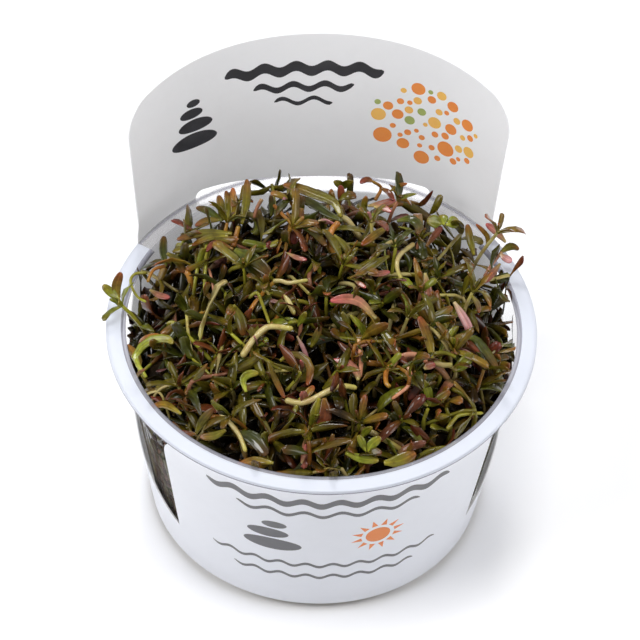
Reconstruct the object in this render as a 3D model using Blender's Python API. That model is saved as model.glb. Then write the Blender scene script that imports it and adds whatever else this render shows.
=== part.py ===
"""Rotala shoots growing in a clear cup with a one-piece card sleeve.

Units are metres and +Z is up. The origin is the centre of the cup's flat underside,
the front of the sleeve faces -Y and its tall tab stands at +Y. Angles on the sleeve
are measured from the middle of the tab, positive towards +X.
"""

import math
import random
from dataclasses import dataclass

import bmesh
import bpy
from mathutils import Matrix, Vector, noise
from mathutils.bvhtree import BVHTree

# Cup
CUP_SEGMENTS = 40
RIM_HEIGHT = 0.0566
RIM_RADIUS = 0.0505
FLANGE_INNER_RADIUS = 0.0473
FLANGE_THICKNESS = 0.0007
LIP_DEPTH = 0.0013
LIP_THICKNESS = 0.0006
EDGE_ROUND = 0.0003
STEP_DROP = 0.0028
CUP_FOOT_RADIUS = 0.0388
CUP_WALL = 0.0007
FOOT_ROUND = 0.0010
DRAFT = 0.1555

# Clearance between pieces that touch
GAP = 0.0003

# Card sleeve
CARD_THICKNESS = 0.00035
CARD_FOOT_RADIUS = 0.0395
CARD_LOW_EDGE = 0.0022
CARD_FRONT_DROP = 0.0038
CARD_STATIONS = 40
CARD_ROWS = (0.008, 0.024, 0.040, 0.0566, 0.0716, 0.0866)
TAB_LEAN = 0.13
BULGE = 0.0041
BULGE_START_HEIGHT = 0.008
BULGE_FULL_ANGLE = 43.0
BULGE_FADE_ANGLES = (65.0, 115.0)
BULGE_LOSS = 11.7
TAB_RISE = 0.043
TAB_ARCH_RADIUS = 0.235
TAB_CORNER_RADIUS = 0.009
TAB_HALF_WIDTH = 0.0521
TAB_REFERENCE_RADIUS = 0.0548
TAB_ROOT_ANGLE = 53.8
TAB_ROOT_RISE = 0.002
NOTCH_TIP_HEIGHT = 0.0141
NOTCH_RIGHT_ANGLE = 121.1
NOTCH_LEFT_ANGLE = -126.3
NOTCH_ROUNDNESS = 0.55
NOTCH_STEPS = 10
SLOT_HALF_ANGLE = 33.5
SLOT_DROP = 0.0039
SLOT_RISE = 0.0005

# Growing gel and the tangle of low leaves above it
GEL_TOP = 0.012
MASS_SEGMENTS = 24
MASS_RINGS = (0.008, 0.016, 0.024, 0.032, 0.039)
MASS_RISE = 0.0010
MASS_FALL = 0.0120
MASS_BACK_RISE = 0.0030
MASS_RIPPLE = 0.0016
MASS_RIPPLE_SCALE = 90.0
MASS_REACH = 0.0446
LOW_LEAF_CLEARANCE = 0.0042
LOW_LEAF_COUNT = 12
LOW_LEAF_LEVEL = 0.7

# Shoots
SEED = 41
SHOOT_SEED_STEP = 1009
SPACING = 0.0114
SPREAD = 0.0398
JITTER = 0.0012
CROWDED_SHARE = 0.6
VARIANTS = 160
STEM_HALF = 0.0005
NODE_HEIGHT = 0.0011
LEAF_THICKNESS = 0.00048
LONG_STATIONS = ((0.42, 1.0, 1.0), (0.80, 0.92, 0.9), (1.0, 0.34, 0.6))
SHORT_STATIONS = ((0.60, 1.0, 1.0), (1.0, 0.42, 0.6))
TWIST = 35.0
SHRINK = 0.45
HEIGHT_KEPT = 0.6
WIDTH_KEPT = 0.5
LEAN = 0.0065
LEAN_POWER = 1.7
HEADING_STEP = 0.02
BOW = (0.0003, 0.0014)
LOW_NODE = (0.34, 0.52)
CROWN_SPREAD = 0.003
CROWN_RISE = 0.0105
CROWN_FALL = 0.0095
CROWN_BACK_RISE = 0.0065
SWEPT_SHOOTS = (
    (-0.0400, 0.0020, -0.0070, 0.0020, 0.0040, 0.60),
    (0.0360, 0.0180, 0.0068, 0.0036, 0.0085, 0.85),
)


def clear_scene():
    """Remove the objects that are already in the scene."""
    for obj in list(bpy.data.objects):
        bpy.data.objects.remove(obj, do_unlink=True)


def finish(name, color, roughness, transmission=0.0):
    """A plain Principled material."""
    material = bpy.data.materials.new(name)
    material.use_nodes = True
    shader = material.node_tree.nodes["Principled BSDF"]
    shader.inputs["Base Color"].default_value = (*color, 1.0)
    shader.inputs["Roughness"].default_value = roughness
    shader.inputs["Metallic"].default_value = 0.0
    shader.inputs["Transmission Weight"].default_value = transmission
    return material


def add_object(name, bm, material, smooth_degrees=None):
    """Put a bmesh into the scene as one named object."""
    mesh = bpy.data.meshes.new(name)
    bm.to_mesh(mesh)
    bm.free()
    mesh.materials.append(material)
    if smooth_degrees is not None:
        mesh.shade_smooth()
        mesh.set_sharp_from_angle(angle=math.radians(smooth_degrees))
    obj = bpy.data.objects.new(name, mesh)
    bpy.context.scene.collection.objects.link(obj)
    return obj


def lathe(profile, segments):
    """Turn a profile of (radius, height) points, both ends on the axis, about Z."""
    bm = bmesh.new()
    verts = [bm.verts.new((radius, 0.0, height)) for radius, height in profile]
    edges = [bm.edges.new(pair) for pair in zip(verts, verts[1:])]
    bmesh.ops.spin(
        bm,
        geom=verts + edges,
        cent=(0.0, 0.0, 0.0),
        axis=(0.0, 0.0, 1.0),
        angle=math.tau,
        steps=segments,
        use_merge=True,
    )
    bmesh.ops.remove_doubles(bm, verts=bm.verts, dist=1e-6)
    bmesh.ops.recalc_face_normals(bm, faces=bm.faces)
    return bm


def cup_outer_radius(height):
    """Outside radius of the cup's tapered wall."""
    return CUP_FOOT_RADIUS + DRAFT * height


def cup_inner_radius(height):
    """Inside radius of the cup's tapered wall."""
    return cup_outer_radius(height) - CUP_WALL


def make_cup():
    """The clear cup: flat foot, tapered wall, small stacking step and flange with a lip."""
    step = RIM_HEIGHT - STEP_DROP
    under = RIM_HEIGHT - FLANGE_THICKNESS
    collar = FLANGE_INNER_RADIUS + CUP_WALL
    lip_inner = RIM_RADIUS - LIP_THICKNESS
    floor_round = CUP_WALL + FOOT_ROUND / 2
    profile = [
        (0.0, 0.0),
        (CUP_FOOT_RADIUS - FOOT_ROUND / 2, 0.0),
        (cup_outer_radius(FOOT_ROUND), FOOT_ROUND),
        (cup_outer_radius(step - CUP_WALL), step - CUP_WALL),
        (collar, step),
        (collar, under),
        (lip_inner, under),
        (lip_inner, RIM_HEIGHT - LIP_DEPTH),
        (RIM_RADIUS, RIM_HEIGHT - LIP_DEPTH),
        (RIM_RADIUS, RIM_HEIGHT - EDGE_ROUND),
        (RIM_RADIUS - EDGE_ROUND, RIM_HEIGHT),
        (FLANGE_INNER_RADIUS + EDGE_ROUND, RIM_HEIGHT),
        (FLANGE_INNER_RADIUS, RIM_HEIGHT - EDGE_ROUND),
        (FLANGE_INNER_RADIUS, step + CUP_WALL / 2),
        (cup_inner_radius(step), step),
        (cup_inner_radius(floor_round), floor_round),
        (CUP_FOOT_RADIUS - FOOT_ROUND, CUP_WALL),
        (0.0, CUP_WALL),
    ]
    material = finish("clear_plastic", (0.93, 0.95, 0.97), 0.08, transmission=1.0)
    return add_object("cup", lathe(profile, CUP_SEGMENTS), material, smooth_degrees=40)


def ease(value):
    """Rise smoothly from 0 to 1 as value goes from 0 to 1."""
    return (1.0 - math.cos(math.pi * min(max(value, 0.0), 1.0))) / 2.0


def card_radius(angle, height):
    """Outside radius of the sleeve. Beside the slot it stands off the cup to pass outside the rim."""
    fade_start, fade_end = BULGE_FADE_ANGLES
    turn = abs(angle)
    across = ease(turn / BULGE_FULL_ANGLE) * (1.0 - ease((turn - fade_start) / (fade_end - fade_start)))
    if height <= RIM_HEIGHT:
        cone = CARD_FOOT_RADIUS + DRAFT * height
        up = max(0.0, (height - BULGE_START_HEIGHT) / (RIM_HEIGHT - BULGE_START_HEIGHT))
    else:
        above = height - RIM_HEIGHT
        cone = CARD_FOOT_RADIUS + DRAFT * RIM_HEIGHT + TAB_LEAN * above
        up = 1.0 - BULGE_LOSS * above
    return cone + BULGE * across * up


def wrap(angle, height):
    """Take a point of the flat card, as an angle and a height, to its place round the cup."""
    radius = card_radius(angle, height)
    turn = math.radians(angle)
    return Vector((radius * math.sin(turn), radius * math.cos(turn), height))


def tab_outline():
    """Right half of the tab, from its root at the rim to the middle of its arched top."""
    arch_centre = RIM_HEIGHT + TAB_RISE - TAB_ARCH_RADIUS
    corner_x = TAB_HALF_WIDTH - TAB_CORNER_RADIUS
    reach = TAB_ARCH_RADIUS - TAB_CORNER_RADIUS
    corner_z = arch_centre + math.sqrt(reach**2 - corner_x**2)
    end_turn = math.atan2(corner_z - arch_centre, corner_x)
    to_angle = math.degrees(1.0 / TAB_REFERENCE_RADIUS)
    points = [(TAB_ROOT_ANGLE, RIM_HEIGHT + TAB_ROOT_RISE)]
    corner_steps = 5
    for step in range(corner_steps + 1):
        turn = end_turn * step / corner_steps
        x = corner_x + TAB_CORNER_RADIUS * math.cos(turn)
        z = corner_z + TAB_CORNER_RADIUS * math.sin(turn)
        points.append((x * to_angle, z))
    arch_steps = 5
    arch_end = points[-1][0] / to_angle
    for step in range(1, arch_steps + 1):
        x = arch_end * (1.0 - step / arch_steps)
        points.append((x * to_angle, arch_centre + math.sqrt(TAB_ARCH_RADIUS**2 - x**2)))
    return points


def notch_outline(tip_angle):
    """Curved edge of one side opening, from its low tip up to the root of the tab."""
    root = math.copysign(TAB_ROOT_ANGLE, tip_angle)
    rise = RIM_HEIGHT + TAB_ROOT_RISE - NOTCH_TIP_HEIGHT
    points = []
    for step in range(NOTCH_STEPS):
        share = step / NOTCH_STEPS
        round_rise = 1.0 - math.sqrt(1.0 - share**2)
        climb = NOTCH_ROUNDNESS * round_rise + (1.0 - NOTCH_ROUNDNESS) * share
        points.append((tip_angle + (root - tip_angle) * share, NOTCH_TIP_HEIGHT + rise * climb))
    return points


def slot_outline():
    """The slot at the back that the rim pokes through, with round ends."""
    radius = (SLOT_RISE + SLOT_DROP) / 2
    middle = RIM_HEIGHT + (SLOT_RISE - SLOT_DROP) / 2
    per_metre = math.degrees(1.0 / card_radius(SLOT_HALF_ANGLE, middle))
    end_steps = 4
    points = []
    for side in (1, -1):
        for step in range(end_steps + 1):
            turn = side * math.pi * (0.5 - step / end_steps)
            reach = SLOT_HALF_ANGLE - radius * per_metre * (1.0 - math.cos(turn))
            points.append((side * reach, middle + radius * math.sin(turn)))
    return points


def card_outline():
    """Whole outline of the flat card, whose two ends meet at the middle of the front."""
    tab = tab_outline()
    front_top = RIM_HEIGHT - CARD_FRONT_DROP
    left = [(-180.0, front_top), (NOTCH_LEFT_ANGLE, front_top)]
    left += notch_outline(NOTCH_LEFT_ANGLE)
    left += [(-angle, height) for angle, height in tab]
    right = list(reversed(tab[:-1]))
    right += list(reversed(notch_outline(NOTCH_RIGHT_ANGLE)))
    right += [(NOTCH_RIGHT_ANGLE, front_top), (180.0, front_top)]
    return left + right + [(180.0, CARD_LOW_EDGE), (-180.0, CARD_LOW_EDGE)]


def add_loop(bm, points):
    """A closed loop of edges in the flat card's plane, where 1 degree is 1 mm."""
    verts = [bm.verts.new((angle * 0.001, height, 0.0)) for angle, height in points]
    return [bm.edges.new(pair) for pair in zip(verts, verts[1:] + verts[:1])]


def make_sleeve():
    """The card sleeve: cut flat, scored into narrow strips, wrapped round and given its thickness."""
    bm = bmesh.new()
    edges = add_loop(bm, card_outline()) + add_loop(bm, slot_outline())
    bmesh.ops.triangle_fill(bm, edges=edges, use_beauty=True, normal=(0.0, 0.0, 1.0))
    width = 360.0 / CARD_STATIONS
    cuts = [((-180.0 + width * n) * 0.001, (1.0, 0.0, 0.0)) for n in range(1, CARD_STATIONS)]
    cuts += [(row, (0.0, 1.0, 0.0)) for row in CARD_ROWS]
    for place, normal in cuts:
        bmesh.ops.bisect_plane(
            bm,
            geom=bm.verts[:] + bm.edges[:] + bm.faces[:],
            dist=1e-7,
            plane_co=Vector(normal) * place,
            plane_no=normal,
        )
    score = {edge for edge in bm.edges if on_cut(edge, cuts)}
    spare = [edge for edge in bm.edges if not edge.is_boundary and edge not in score]
    bmesh.ops.dissolve_edges(bm, edges=spare, use_verts=False)
    midway = [vert for vert in bm.verts if len(vert.link_edges) == 2 and not vert.is_boundary]
    bmesh.ops.dissolve_verts(bm, verts=midway)
    for vert in bm.verts:
        vert.co = wrap(vert.co.x * 1000.0, vert.co.y)
    bmesh.ops.remove_doubles(bm, verts=bm.verts, dist=1e-6)
    bmesh.ops.triangulate(bm, faces=bm.faces)
    bmesh.ops.recalc_face_normals(bm, faces=bm.faces)
    face_outwards(bm)
    material = finish("white_card", (0.86, 0.86, 0.88), 0.45)
    sleeve = add_object("card_sleeve", bm, material, smooth_degrees=40)
    solidify = sleeve.modifiers.new("card thickness", "SOLIDIFY")
    solidify.thickness = CARD_THICKNESS
    solidify.offset = -1.0
    return sleeve


def on_cut(edge, cuts):
    """Whether an edge of the flat card lies along one of the straight cuts."""
    first, second = (vert.co for vert in edge.verts)
    for place, normal in cuts:
        axis = 0 if normal[0] else 1
        if abs(first[axis] - place) < 1e-6 and abs(second[axis] - place) < 1e-6:
            return True
    return False


def face_outwards(bm):
    """Turn an open wrapped sheet so that its faces point away from the axis."""
    outward = sum(face.normal.xy.dot(face.calc_center_median().xy) for face in bm.faces)
    if outward < 0:
        bmesh.ops.reverse_faces(bm, faces=bm.faces)


def make_gel():
    """The firm clear gel that the shoots root in."""
    floor = CUP_WALL + GAP
    profile = [
        (0.0, floor),
        (CUP_FOOT_RADIUS - FOOT_ROUND - GAP, floor),
        (cup_inner_radius(GEL_TOP) - 2 * GAP, GEL_TOP),
        (0.0, GEL_TOP),
    ]
    material = finish("growing_gel", (0.62, 0.52, 0.30), 0.2)
    return add_object("growing_gel", lathe(profile, CUP_SEGMENTS), material, smooth_degrees=40)


def mass_height(x, y):
    """Top of the low tangle, which is domed, higher at the back and uneven."""
    out = (x * x + y * y) / MASS_REACH**2
    ripple = noise.noise(Vector((x, y, 0.0)) * MASS_RIPPLE_SCALE)
    slope = MASS_BACK_RISE * y / MASS_REACH
    return RIM_HEIGHT + MASS_RISE - MASS_FALL * out + slope + MASS_RIPPLE * ripple


def make_mass():
    """A closed body that fills the cup from the gel up to the feet of the tall shoots."""
    low = GEL_TOP + GAP
    profile = [(0.0, low), (cup_inner_radius(low) - 2 * GAP, low), (MASS_REACH, RIM_HEIGHT)]
    profile += [(radius, RIM_HEIGHT) for radius in reversed(MASS_RINGS)]
    profile.append((0.0, RIM_HEIGHT))
    bm = lathe(profile, MASS_SEGMENTS)
    for vert in bm.verts:
        if vert.co.z < low + GAP:
            continue
        vert.co.z = mass_height(vert.co.x, vert.co.y)
        if vert.co.xy.length > MASS_REACH - GAP:
            vert.co.xy *= (cup_inner_radius(vert.co.z) - 2 * GAP) / MASS_REACH
    bmesh.ops.recalc_face_normals(bm, faces=bm.faces)
    return bm


@dataclass
class Station:
    """A four-cornered cross-section: its centre and two half sizes at right angles."""

    centre: Vector
    wide: Vector
    thick: Vector

    def signs(self, point):
        """Which corner of this section a point is nearest to."""
        away = point - self.centre
        return math.copysign(1.0, away.dot(self.wide)), math.copysign(1.0, away.dot(self.thick))

    def corner(self, signs):
        """Place of one corner."""
        return self.centre + self.wide * signs[0] + self.thick * signs[1]


def draw_out(bm, face, frame, stations):
    """Extend a four-cornered face through the stations and return each stretch's four walls."""
    walls = []
    for station in stations:
        face = bmesh.ops.extrude_discrete_faces(bm, faces=[face])["faces"][0]
        for vert in face.verts:
            vert.co = station.corner(frame.signs(vert.co))
        frame = station
        walls.append([side for edge in face.edges for side in edge.link_faces if side is not face])
    return walls


@dataclass
class Leaf:
    """One blade: its size, how far it opens from the stem, its bend and twist, and its outline."""

    length: float
    width: float
    lift: float
    curl: float
    twist: float
    outline: tuple

    def stations(self, root, stem, outward):
        """The sections of the blade from its root to its tip."""
        across = stem.cross(outward).normalized()
        place = root.copy()
        done = 0.0
        for share, wide, thick in self.outline:
            middle = self.lift + self.curl * (share + done) / 2
            forward = stem * math.cos(middle) + outward * math.sin(middle)
            place = place + forward * (share - done) * self.length
            angle = self.lift + self.curl * share
            heading = stem * math.cos(angle) + outward * math.sin(angle)
            turn = Matrix.Rotation(self.twist * share, 3, heading)
            half_width = turn @ across * (wide * self.width / 2)
            half_thickness = turn @ across.cross(heading) * (thick * LEAF_THICKNESS / 2)
            yield Station(place.copy(), half_width, half_thickness)
            done = share


def grow_leaf(bm, face, stem, outward, leaf):
    """Draw a small face out into a blade that opens from the stem's direction."""
    root = face.calc_center_median()
    across = stem.cross(outward).normalized()
    start = Station(root, across * STEM_HALF, across.cross(face.normal) * NODE_HEIGHT / 2)
    draw_out(bm, face, start, leaf.stations(root, stem, outward))


@dataclass
class Shoot:
    """One upright shoot: a four-sided stem with a low pair of leaves and a crown of four."""

    foot: Vector
    reach: Vector
    bow: Vector
    roll: float
    low_node: float
    low_pair: tuple
    long_pair: tuple
    short_pair: tuple

    def point(self, share):
        """Centre of the stem at a share of its length."""
        sweep = Vector((self.reach.x, self.reach.y, 0.0)) * share**LEAN_POWER
        rise = Vector((0.0, 0.0, self.reach.z)) * share
        return self.foot + sweep + rise + self.bow * math.sin(math.pi * share)

    def heading(self, share):
        """Direction of the stem at a share of its length."""
        ahead = self.point(min(share + HEADING_STEP, 1.0))
        return (ahead - self.point(max(share - HEADING_STEP, 0.0))).normalized()

    def station(self, share):
        """Cross-section of the stem at a share of its length."""
        axis = self.heading(share)
        side = Vector((math.cos(self.roll), math.sin(self.roll), 0.0))
        side = (side - axis * side.dot(axis)).normalized()
        return Station(self.point(share), side * STEM_HALF, axis.cross(side) * STEM_HALF)

    def build(self, floor):
        """The whole shoot as one closed mesh whose foot follows the surface below it."""
        node = NODE_HEIGHT / self.reach.length
        shares = (0.0, self.low_node, self.low_node + node, 1.0 - node, 1.0)
        sections = [self.station(share) for share in shares]
        bm = bmesh.new()
        cube = bmesh.ops.create_cube(bm, size=1.0)["verts"]
        for vert in cube:
            signs = (math.copysign(1.0, vert.co.x), math.copysign(1.0, vert.co.y))
            if vert.co.z < 0:
                vert.co = drop(sections[0].corner(signs), floor)
            else:
                vert.co = sections[1].corner(signs)
        bm.normal_update()
        top = max(bm.faces, key=lambda face: face.calc_center_median().z)
        walls = draw_out(bm, top, sections[1], sections[2:])
        bm.normal_update()
        low_axis = self.heading(self.low_node)
        tip_axis = self.heading(1.0)
        low, crown = walls[0], walls[2]
        self.grow_pair(bm, low, low_axis, sections[1].wide, self.low_pair)
        self.grow_pair(bm, crown, tip_axis, sections[3].thick, self.long_pair)
        self.grow_pair(bm, crown, tip_axis, sections[3].wide, self.short_pair)
        bmesh.ops.recalc_face_normals(bm, faces=bm.faces)
        return bm

    def grow_pair(self, bm, walls, stem, direction, pair):
        """Grow one leaf from each of the two walls that face along a direction and against it."""
        for sign, leaf in zip((1.0, -1.0), pair):
            outward = (direction * sign).normalized()
            outward = (outward - stem * outward.dot(stem)).normalized()
            wall = max((face for face in walls if face.is_valid), key=lambda face: face.normal.dot(outward))
            grow_leaf(bm, wall, stem, outward, leaf)


def drop(point, floor):
    """The place a little above the surface that lies straight below a point."""
    above = Vector((point.x, point.y, RIM_HEIGHT * 2))
    hit = floor.ray_cast(above, Vector((0.0, 0.0, -1.0)))[0]
    return hit + Vector((0.0, 0.0, GAP))


def crown_height(x, y):
    """Height that the shoots reach: domed, and higher towards the tab."""
    out = (x * x + y * y) / MASS_REACH**2
    return RIM_HEIGHT + CROWN_RISE - CROWN_FALL * out + CROWN_BACK_RISE * y / MASS_REACH


@dataclass(frozen=True)
class LeafKind:
    """The ranges that a pair of leaves is drawn from. Angles are in degrees."""

    length: tuple
    width: tuple
    lift: tuple
    curl: tuple
    outline: tuple

    def pair(self, rng, scale):
        """Two leaves of this kind."""
        return tuple(self.leaf(rng, scale) for _ in range(2))

    def leaf(self, rng, scale):
        """One leaf of this kind."""
        return Leaf(
            length=rng.uniform(*self.length) * scale,
            width=rng.uniform(*self.width) * (WIDTH_KEPT + (1.0 - WIDTH_KEPT) * scale),
            lift=math.radians(rng.uniform(*self.lift)),
            curl=math.radians(rng.uniform(*self.curl)),
            twist=math.radians(rng.uniform(-TWIST, TWIST)),
            outline=self.outline,
        )


LOW_PAIR = LeafKind((0.0065, 0.0095), (0.0020, 0.0027), (52, 78), (5, 50), SHORT_STATIONS)
LONG_PAIR = LeafKind((0.0075, 0.0110), (0.0022, 0.0030), (38, 66), (-5, 50), LONG_STATIONS)
SHORT_PAIR = LeafKind((0.0045, 0.0070), (0.0018, 0.0025), (14, 34), (-5, 25), SHORT_STATIONS)
LOW_LEAF = LeafKind((0.0055, 0.0080), (0.0020, 0.0027), (25, 55), (15, 35), LONG_STATIONS)


def plan_shoot(number, variant, foot, sweep):
    """One way that a numbered shoot can stand. Later variants are a little smaller."""
    rng = random.Random(SEED + SHOOT_SEED_STEP * number + variant)
    scale = 1.0 - SHRINK * variant / VARIANTS
    top = crown_height(foot.x, foot.y) + rng.uniform(-CROWN_SPREAD, CROWN_SPREAD)
    turn = rng.uniform(0.0, math.tau)
    lean = rng.uniform(0.0, LEAN) * scale
    height = (top - foot.z) * (HEIGHT_KEPT + (1.0 - HEIGHT_KEPT) * scale)
    reach = Vector((lean * math.cos(turn), lean * math.sin(turn), height))
    if sweep is not None:
        across_x, across_y, rise, sweep_scale = sweep
        reach = Vector((across_x, across_y, RIM_HEIGHT + rise - foot.z))
        scale *= sweep_scale
    bend = rng.uniform(0.0, math.tau)
    bow = Vector((math.cos(bend), math.sin(bend), 0.0)) * rng.uniform(*BOW)
    return Shoot(
        foot=foot,
        reach=reach,
        bow=bow,
        roll=rng.uniform(0.0, math.tau),
        low_node=rng.uniform(*LOW_NODE),
        low_pair=LOW_PAIR.pair(rng, scale),
        long_pair=LONG_PAIR.pair(rng, scale),
        short_pair=SHORT_PAIR.pair(rng, scale),
    )


def shoot_places():
    """Where each shoot stands, as (x, y, sweep): the two that lean over the rim, then an even pattern."""
    rng = random.Random(SEED)
    places = [(x, y, sweep) for x, y, *sweep in SWEPT_SHOOTS]
    row_height = SPACING * math.sqrt(3.0) / 2
    rows = int(SPREAD / row_height)
    for row in range(-rows, rows + 1):
        shift = SPACING / 2 if row % 2 else 0.0
        count = int(SPREAD / SPACING) + 1
        for column in range(-count, count + 1):
            x = column * SPACING + shift + rng.uniform(-JITTER, JITTER)
            y = row * row_height + rng.uniform(-JITTER, JITTER)
            nearest = min(math.hypot(x - other[0], y - other[1]) for other in places)
            if math.hypot(x, y) < SPREAD and nearest >= SPACING * CROWDED_SHARE:
                places.append((x, y, None))
    return places


def self_crossing(bm, tree):
    """Whether a shoot's own leaves cut through each other."""
    bm.faces.ensure_lookup_table()
    for first, second in tree.overlap(tree):
        if first < second and not set(bm.faces[first].verts) & set(bm.faces[second].verts):
            return True
    return False


def tree_of(bm):
    """A search tree of a triangulated copy, with a little room round each face."""
    copy = bm.copy()
    bmesh.ops.triangulate(copy, faces=copy.faces)
    tree = BVHTree.FromBMesh(copy, epsilon=GAP / 4)
    crossing = self_crossing(copy, BVHTree.FromBMesh(copy))
    copy.free()
    return tree, crossing


def grow_low_leaves(mass, places):
    """Blades that rise from the tangle in the spaces between the shoots."""
    rng = random.Random(SEED + 1)
    mass.normal_update()
    spots = []
    for face in mass.faces:
        centre = face.calc_center_median()
        room = min(math.hypot(centre.x - x, centre.y - y) for x, y, _ in places)
        if face.normal.z > LOW_LEAF_LEVEL and len(face.verts) == 4 and room > LOW_LEAF_CLEARANCE:
            spots.append((room, face))
    spots.sort(key=lambda spot: -spot[0])
    for _, face in spots[:LOW_LEAF_COUNT]:
        centre = face.calc_center_median()
        normal = face.normal.copy()
        turn = math.atan2(centre.y, centre.x) + math.pi / 2 * rng.choice((1, 2, 3))
        outward = Vector((math.cos(turn), math.sin(turn), 0.0))
        outward = (outward - normal * outward.dot(normal)).normalized()
        across = normal.cross(outward)
        bmesh.ops.inset_individual(mass, faces=[face], thickness=STEM_HALF)
        section = Station(centre, across * STEM_HALF, across.cross(normal) * NODE_HEIGHT / 2)
        middle = Station(centre, across, across.cross(normal))
        for vert in face.verts:
            vert.co = section.corner(middle.signs(vert.co))
        face.normal_update()
        grow_leaf(mass, face, normal, outward, LOW_LEAF.leaf(rng, 1.0))


def make_foliage(cup, sleeve):
    """The tangle with its low leaves, and every shoot in the first variant that touches nothing."""
    graph = bpy.context.evaluated_depsgraph_get()
    taken = [BVHTree.FromObject(obj, graph, epsilon=GAP / 4) for obj in (cup, sleeve)]
    mass = make_mass()
    floor = BVHTree.FromBMesh(mass)
    places = shoot_places()
    grow_low_leaves(mass, places)
    taken.append(tree_of(mass)[0])
    add_object("undergrowth", mass, finish("shaded_leaves", (0.10, 0.12, 0.03), 0.4))
    material = finish("rotala_leaves", (0.26, 0.32, 0.07), 0.3)
    for number, (x, y, sweep) in enumerate(places, start=1):
        foot = drop(Vector((x, y, 0.0)), floor)
        for variant in range(VARIANTS):
            bm = plan_shoot(number, variant, foot, sweep).build(floor)
            tree, crossing = tree_of(bm)
            if not crossing and not any(tree.overlap(other) for other in taken):
                taken.append(tree)
                add_object(f"shoot_{number:02d}", bm, material)
                break
            bm.free()


def main():
    """Build every piece."""
    clear_scene()
    cup = make_cup()
    sleeve = make_sleeve()
    make_gel()
    make_foliage(cup, sleeve)


if __name__ == "__main__":
    main()
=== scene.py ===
"""Looks of a cup of rotala shoots in its card sleeve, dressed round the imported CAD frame.

Units are metres and +Z is up. The origin is the centre of the cup's flat underside, the
front of the sleeve faces -Y and its tall tab stands at +Y. Angles on the sleeve are
measured from the middle of the tab, positive towards +X.
"""

import logging
import math
import random
from dataclasses import dataclass, field, replace
from enum import Enum
from typing import Iterator

import bmesh
import bpy
import numpy as np
from mathutils import Matrix, Vector, noise


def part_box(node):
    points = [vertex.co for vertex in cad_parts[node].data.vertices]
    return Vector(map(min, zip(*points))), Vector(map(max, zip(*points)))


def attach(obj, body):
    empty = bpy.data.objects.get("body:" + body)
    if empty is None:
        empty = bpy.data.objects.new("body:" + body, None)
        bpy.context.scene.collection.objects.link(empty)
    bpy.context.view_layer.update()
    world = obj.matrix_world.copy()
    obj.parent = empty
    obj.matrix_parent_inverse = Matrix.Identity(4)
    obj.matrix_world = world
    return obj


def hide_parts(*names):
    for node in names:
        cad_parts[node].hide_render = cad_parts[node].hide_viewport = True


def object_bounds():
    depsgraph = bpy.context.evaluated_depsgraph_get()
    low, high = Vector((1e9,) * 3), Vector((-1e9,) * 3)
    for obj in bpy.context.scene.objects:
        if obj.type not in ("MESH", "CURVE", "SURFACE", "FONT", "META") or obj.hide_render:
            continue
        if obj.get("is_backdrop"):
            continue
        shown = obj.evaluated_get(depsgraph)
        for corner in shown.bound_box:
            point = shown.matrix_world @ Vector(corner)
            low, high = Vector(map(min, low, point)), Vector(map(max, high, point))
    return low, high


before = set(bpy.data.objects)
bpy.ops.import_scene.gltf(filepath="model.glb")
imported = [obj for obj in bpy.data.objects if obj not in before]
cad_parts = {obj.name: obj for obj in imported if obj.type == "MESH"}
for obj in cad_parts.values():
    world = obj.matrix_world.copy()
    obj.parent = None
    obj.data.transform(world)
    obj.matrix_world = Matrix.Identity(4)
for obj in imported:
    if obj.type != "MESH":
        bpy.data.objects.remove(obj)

CAD_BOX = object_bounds()
LOG = logging.getLogger("rotala")

ROOT = "root"
RIM_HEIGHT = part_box("cup")[1].z
RIM_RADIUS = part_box("cup")[1].x
MM = 0.001
WELD = 1e-6
UP = np.array((0.0, 0.0, 1.0))

Pair = tuple[float, float]
Color = tuple[float, float, float]
Array = np.ndarray
Materials = list[bpy.types.Material]


def ease(value: float) -> float:
    """Rise smoothly from 0 to 1 as value goes from 0 to 1."""
    return (1.0 - math.cos(math.pi * min(max(value, 0.0), 1.0))) / 2.0


def blend(start: float, end: float, share: float) -> float:
    """The value a share of the way from start to end."""
    return start + (end - start) * share


# Node trees


class Graph:
    """Short calls for building one node tree."""

    def __init__(self, tree: bpy.types.NodeTree) -> None:
        """Start from an empty tree."""
        self.tree = tree
        tree.nodes.clear()

    def add(self, kind: str, feeds: dict | None = None, **settings: object) -> bpy.types.Node:
        """Add one node.

        Args:
            kind: The node's type.
            feeds: Value or socket for each input, by its name or number.
            settings: Properties of the node itself.

        Returns:
            The new node.
        """
        node = self.tree.nodes.new(kind)
        for name, value in settings.items():
            setattr(node, name, value)
        self.feed_all(node, feeds or {})
        return node

    def feed_all(self, node: bpy.types.Node, feeds: dict) -> None:
        """Give inputs of a node their values, each by its name or number."""
        for name, value in feeds.items():
            self.feed(node.inputs[name], value)

    def feed(self, socket: bpy.types.NodeSocket, value: object) -> None:
        """Give an input its value, or link it to another node's output.

        Args:
            socket: The input.
            value: A plain value or an output socket.
        """
        if isinstance(value, bpy.types.NodeSocket):
            self.tree.links.new(value, socket)
        else:
            socket.default_value = value

    def math(self, operation: str, first: object, second: object = 0.0) -> bpy.types.NodeSocket:
        """Work out one sum and return its output."""
        return self.add("ShaderNodeMath", {0: first, 1: second}, operation=operation).outputs[0]

    def mix(self, share: object, first: object, second: object, mode: str = "MIX") -> bpy.types.NodeSocket:
        """Mix two colours and return the result's output."""
        feeds = {"Factor": share, 6: first, 7: second}
        return self.add("ShaderNodeMix", feeds, data_type="RGBA", blend_type=mode).outputs[2]

    def span(
        self, value: object, low: float, high: float, start: object, end: object
    ) -> bpy.types.NodeSocket:
        """Map a value from low to high onto start to end, with soft ends."""
        feeds = {"Value": value, "From Min": low, "From Max": high, "To Min": start, "To Max": end}
        node = self.add("ShaderNodeMapRange", feeds, interpolation_type="SMOOTHSTEP")
        return node.outputs["Result"]


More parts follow.
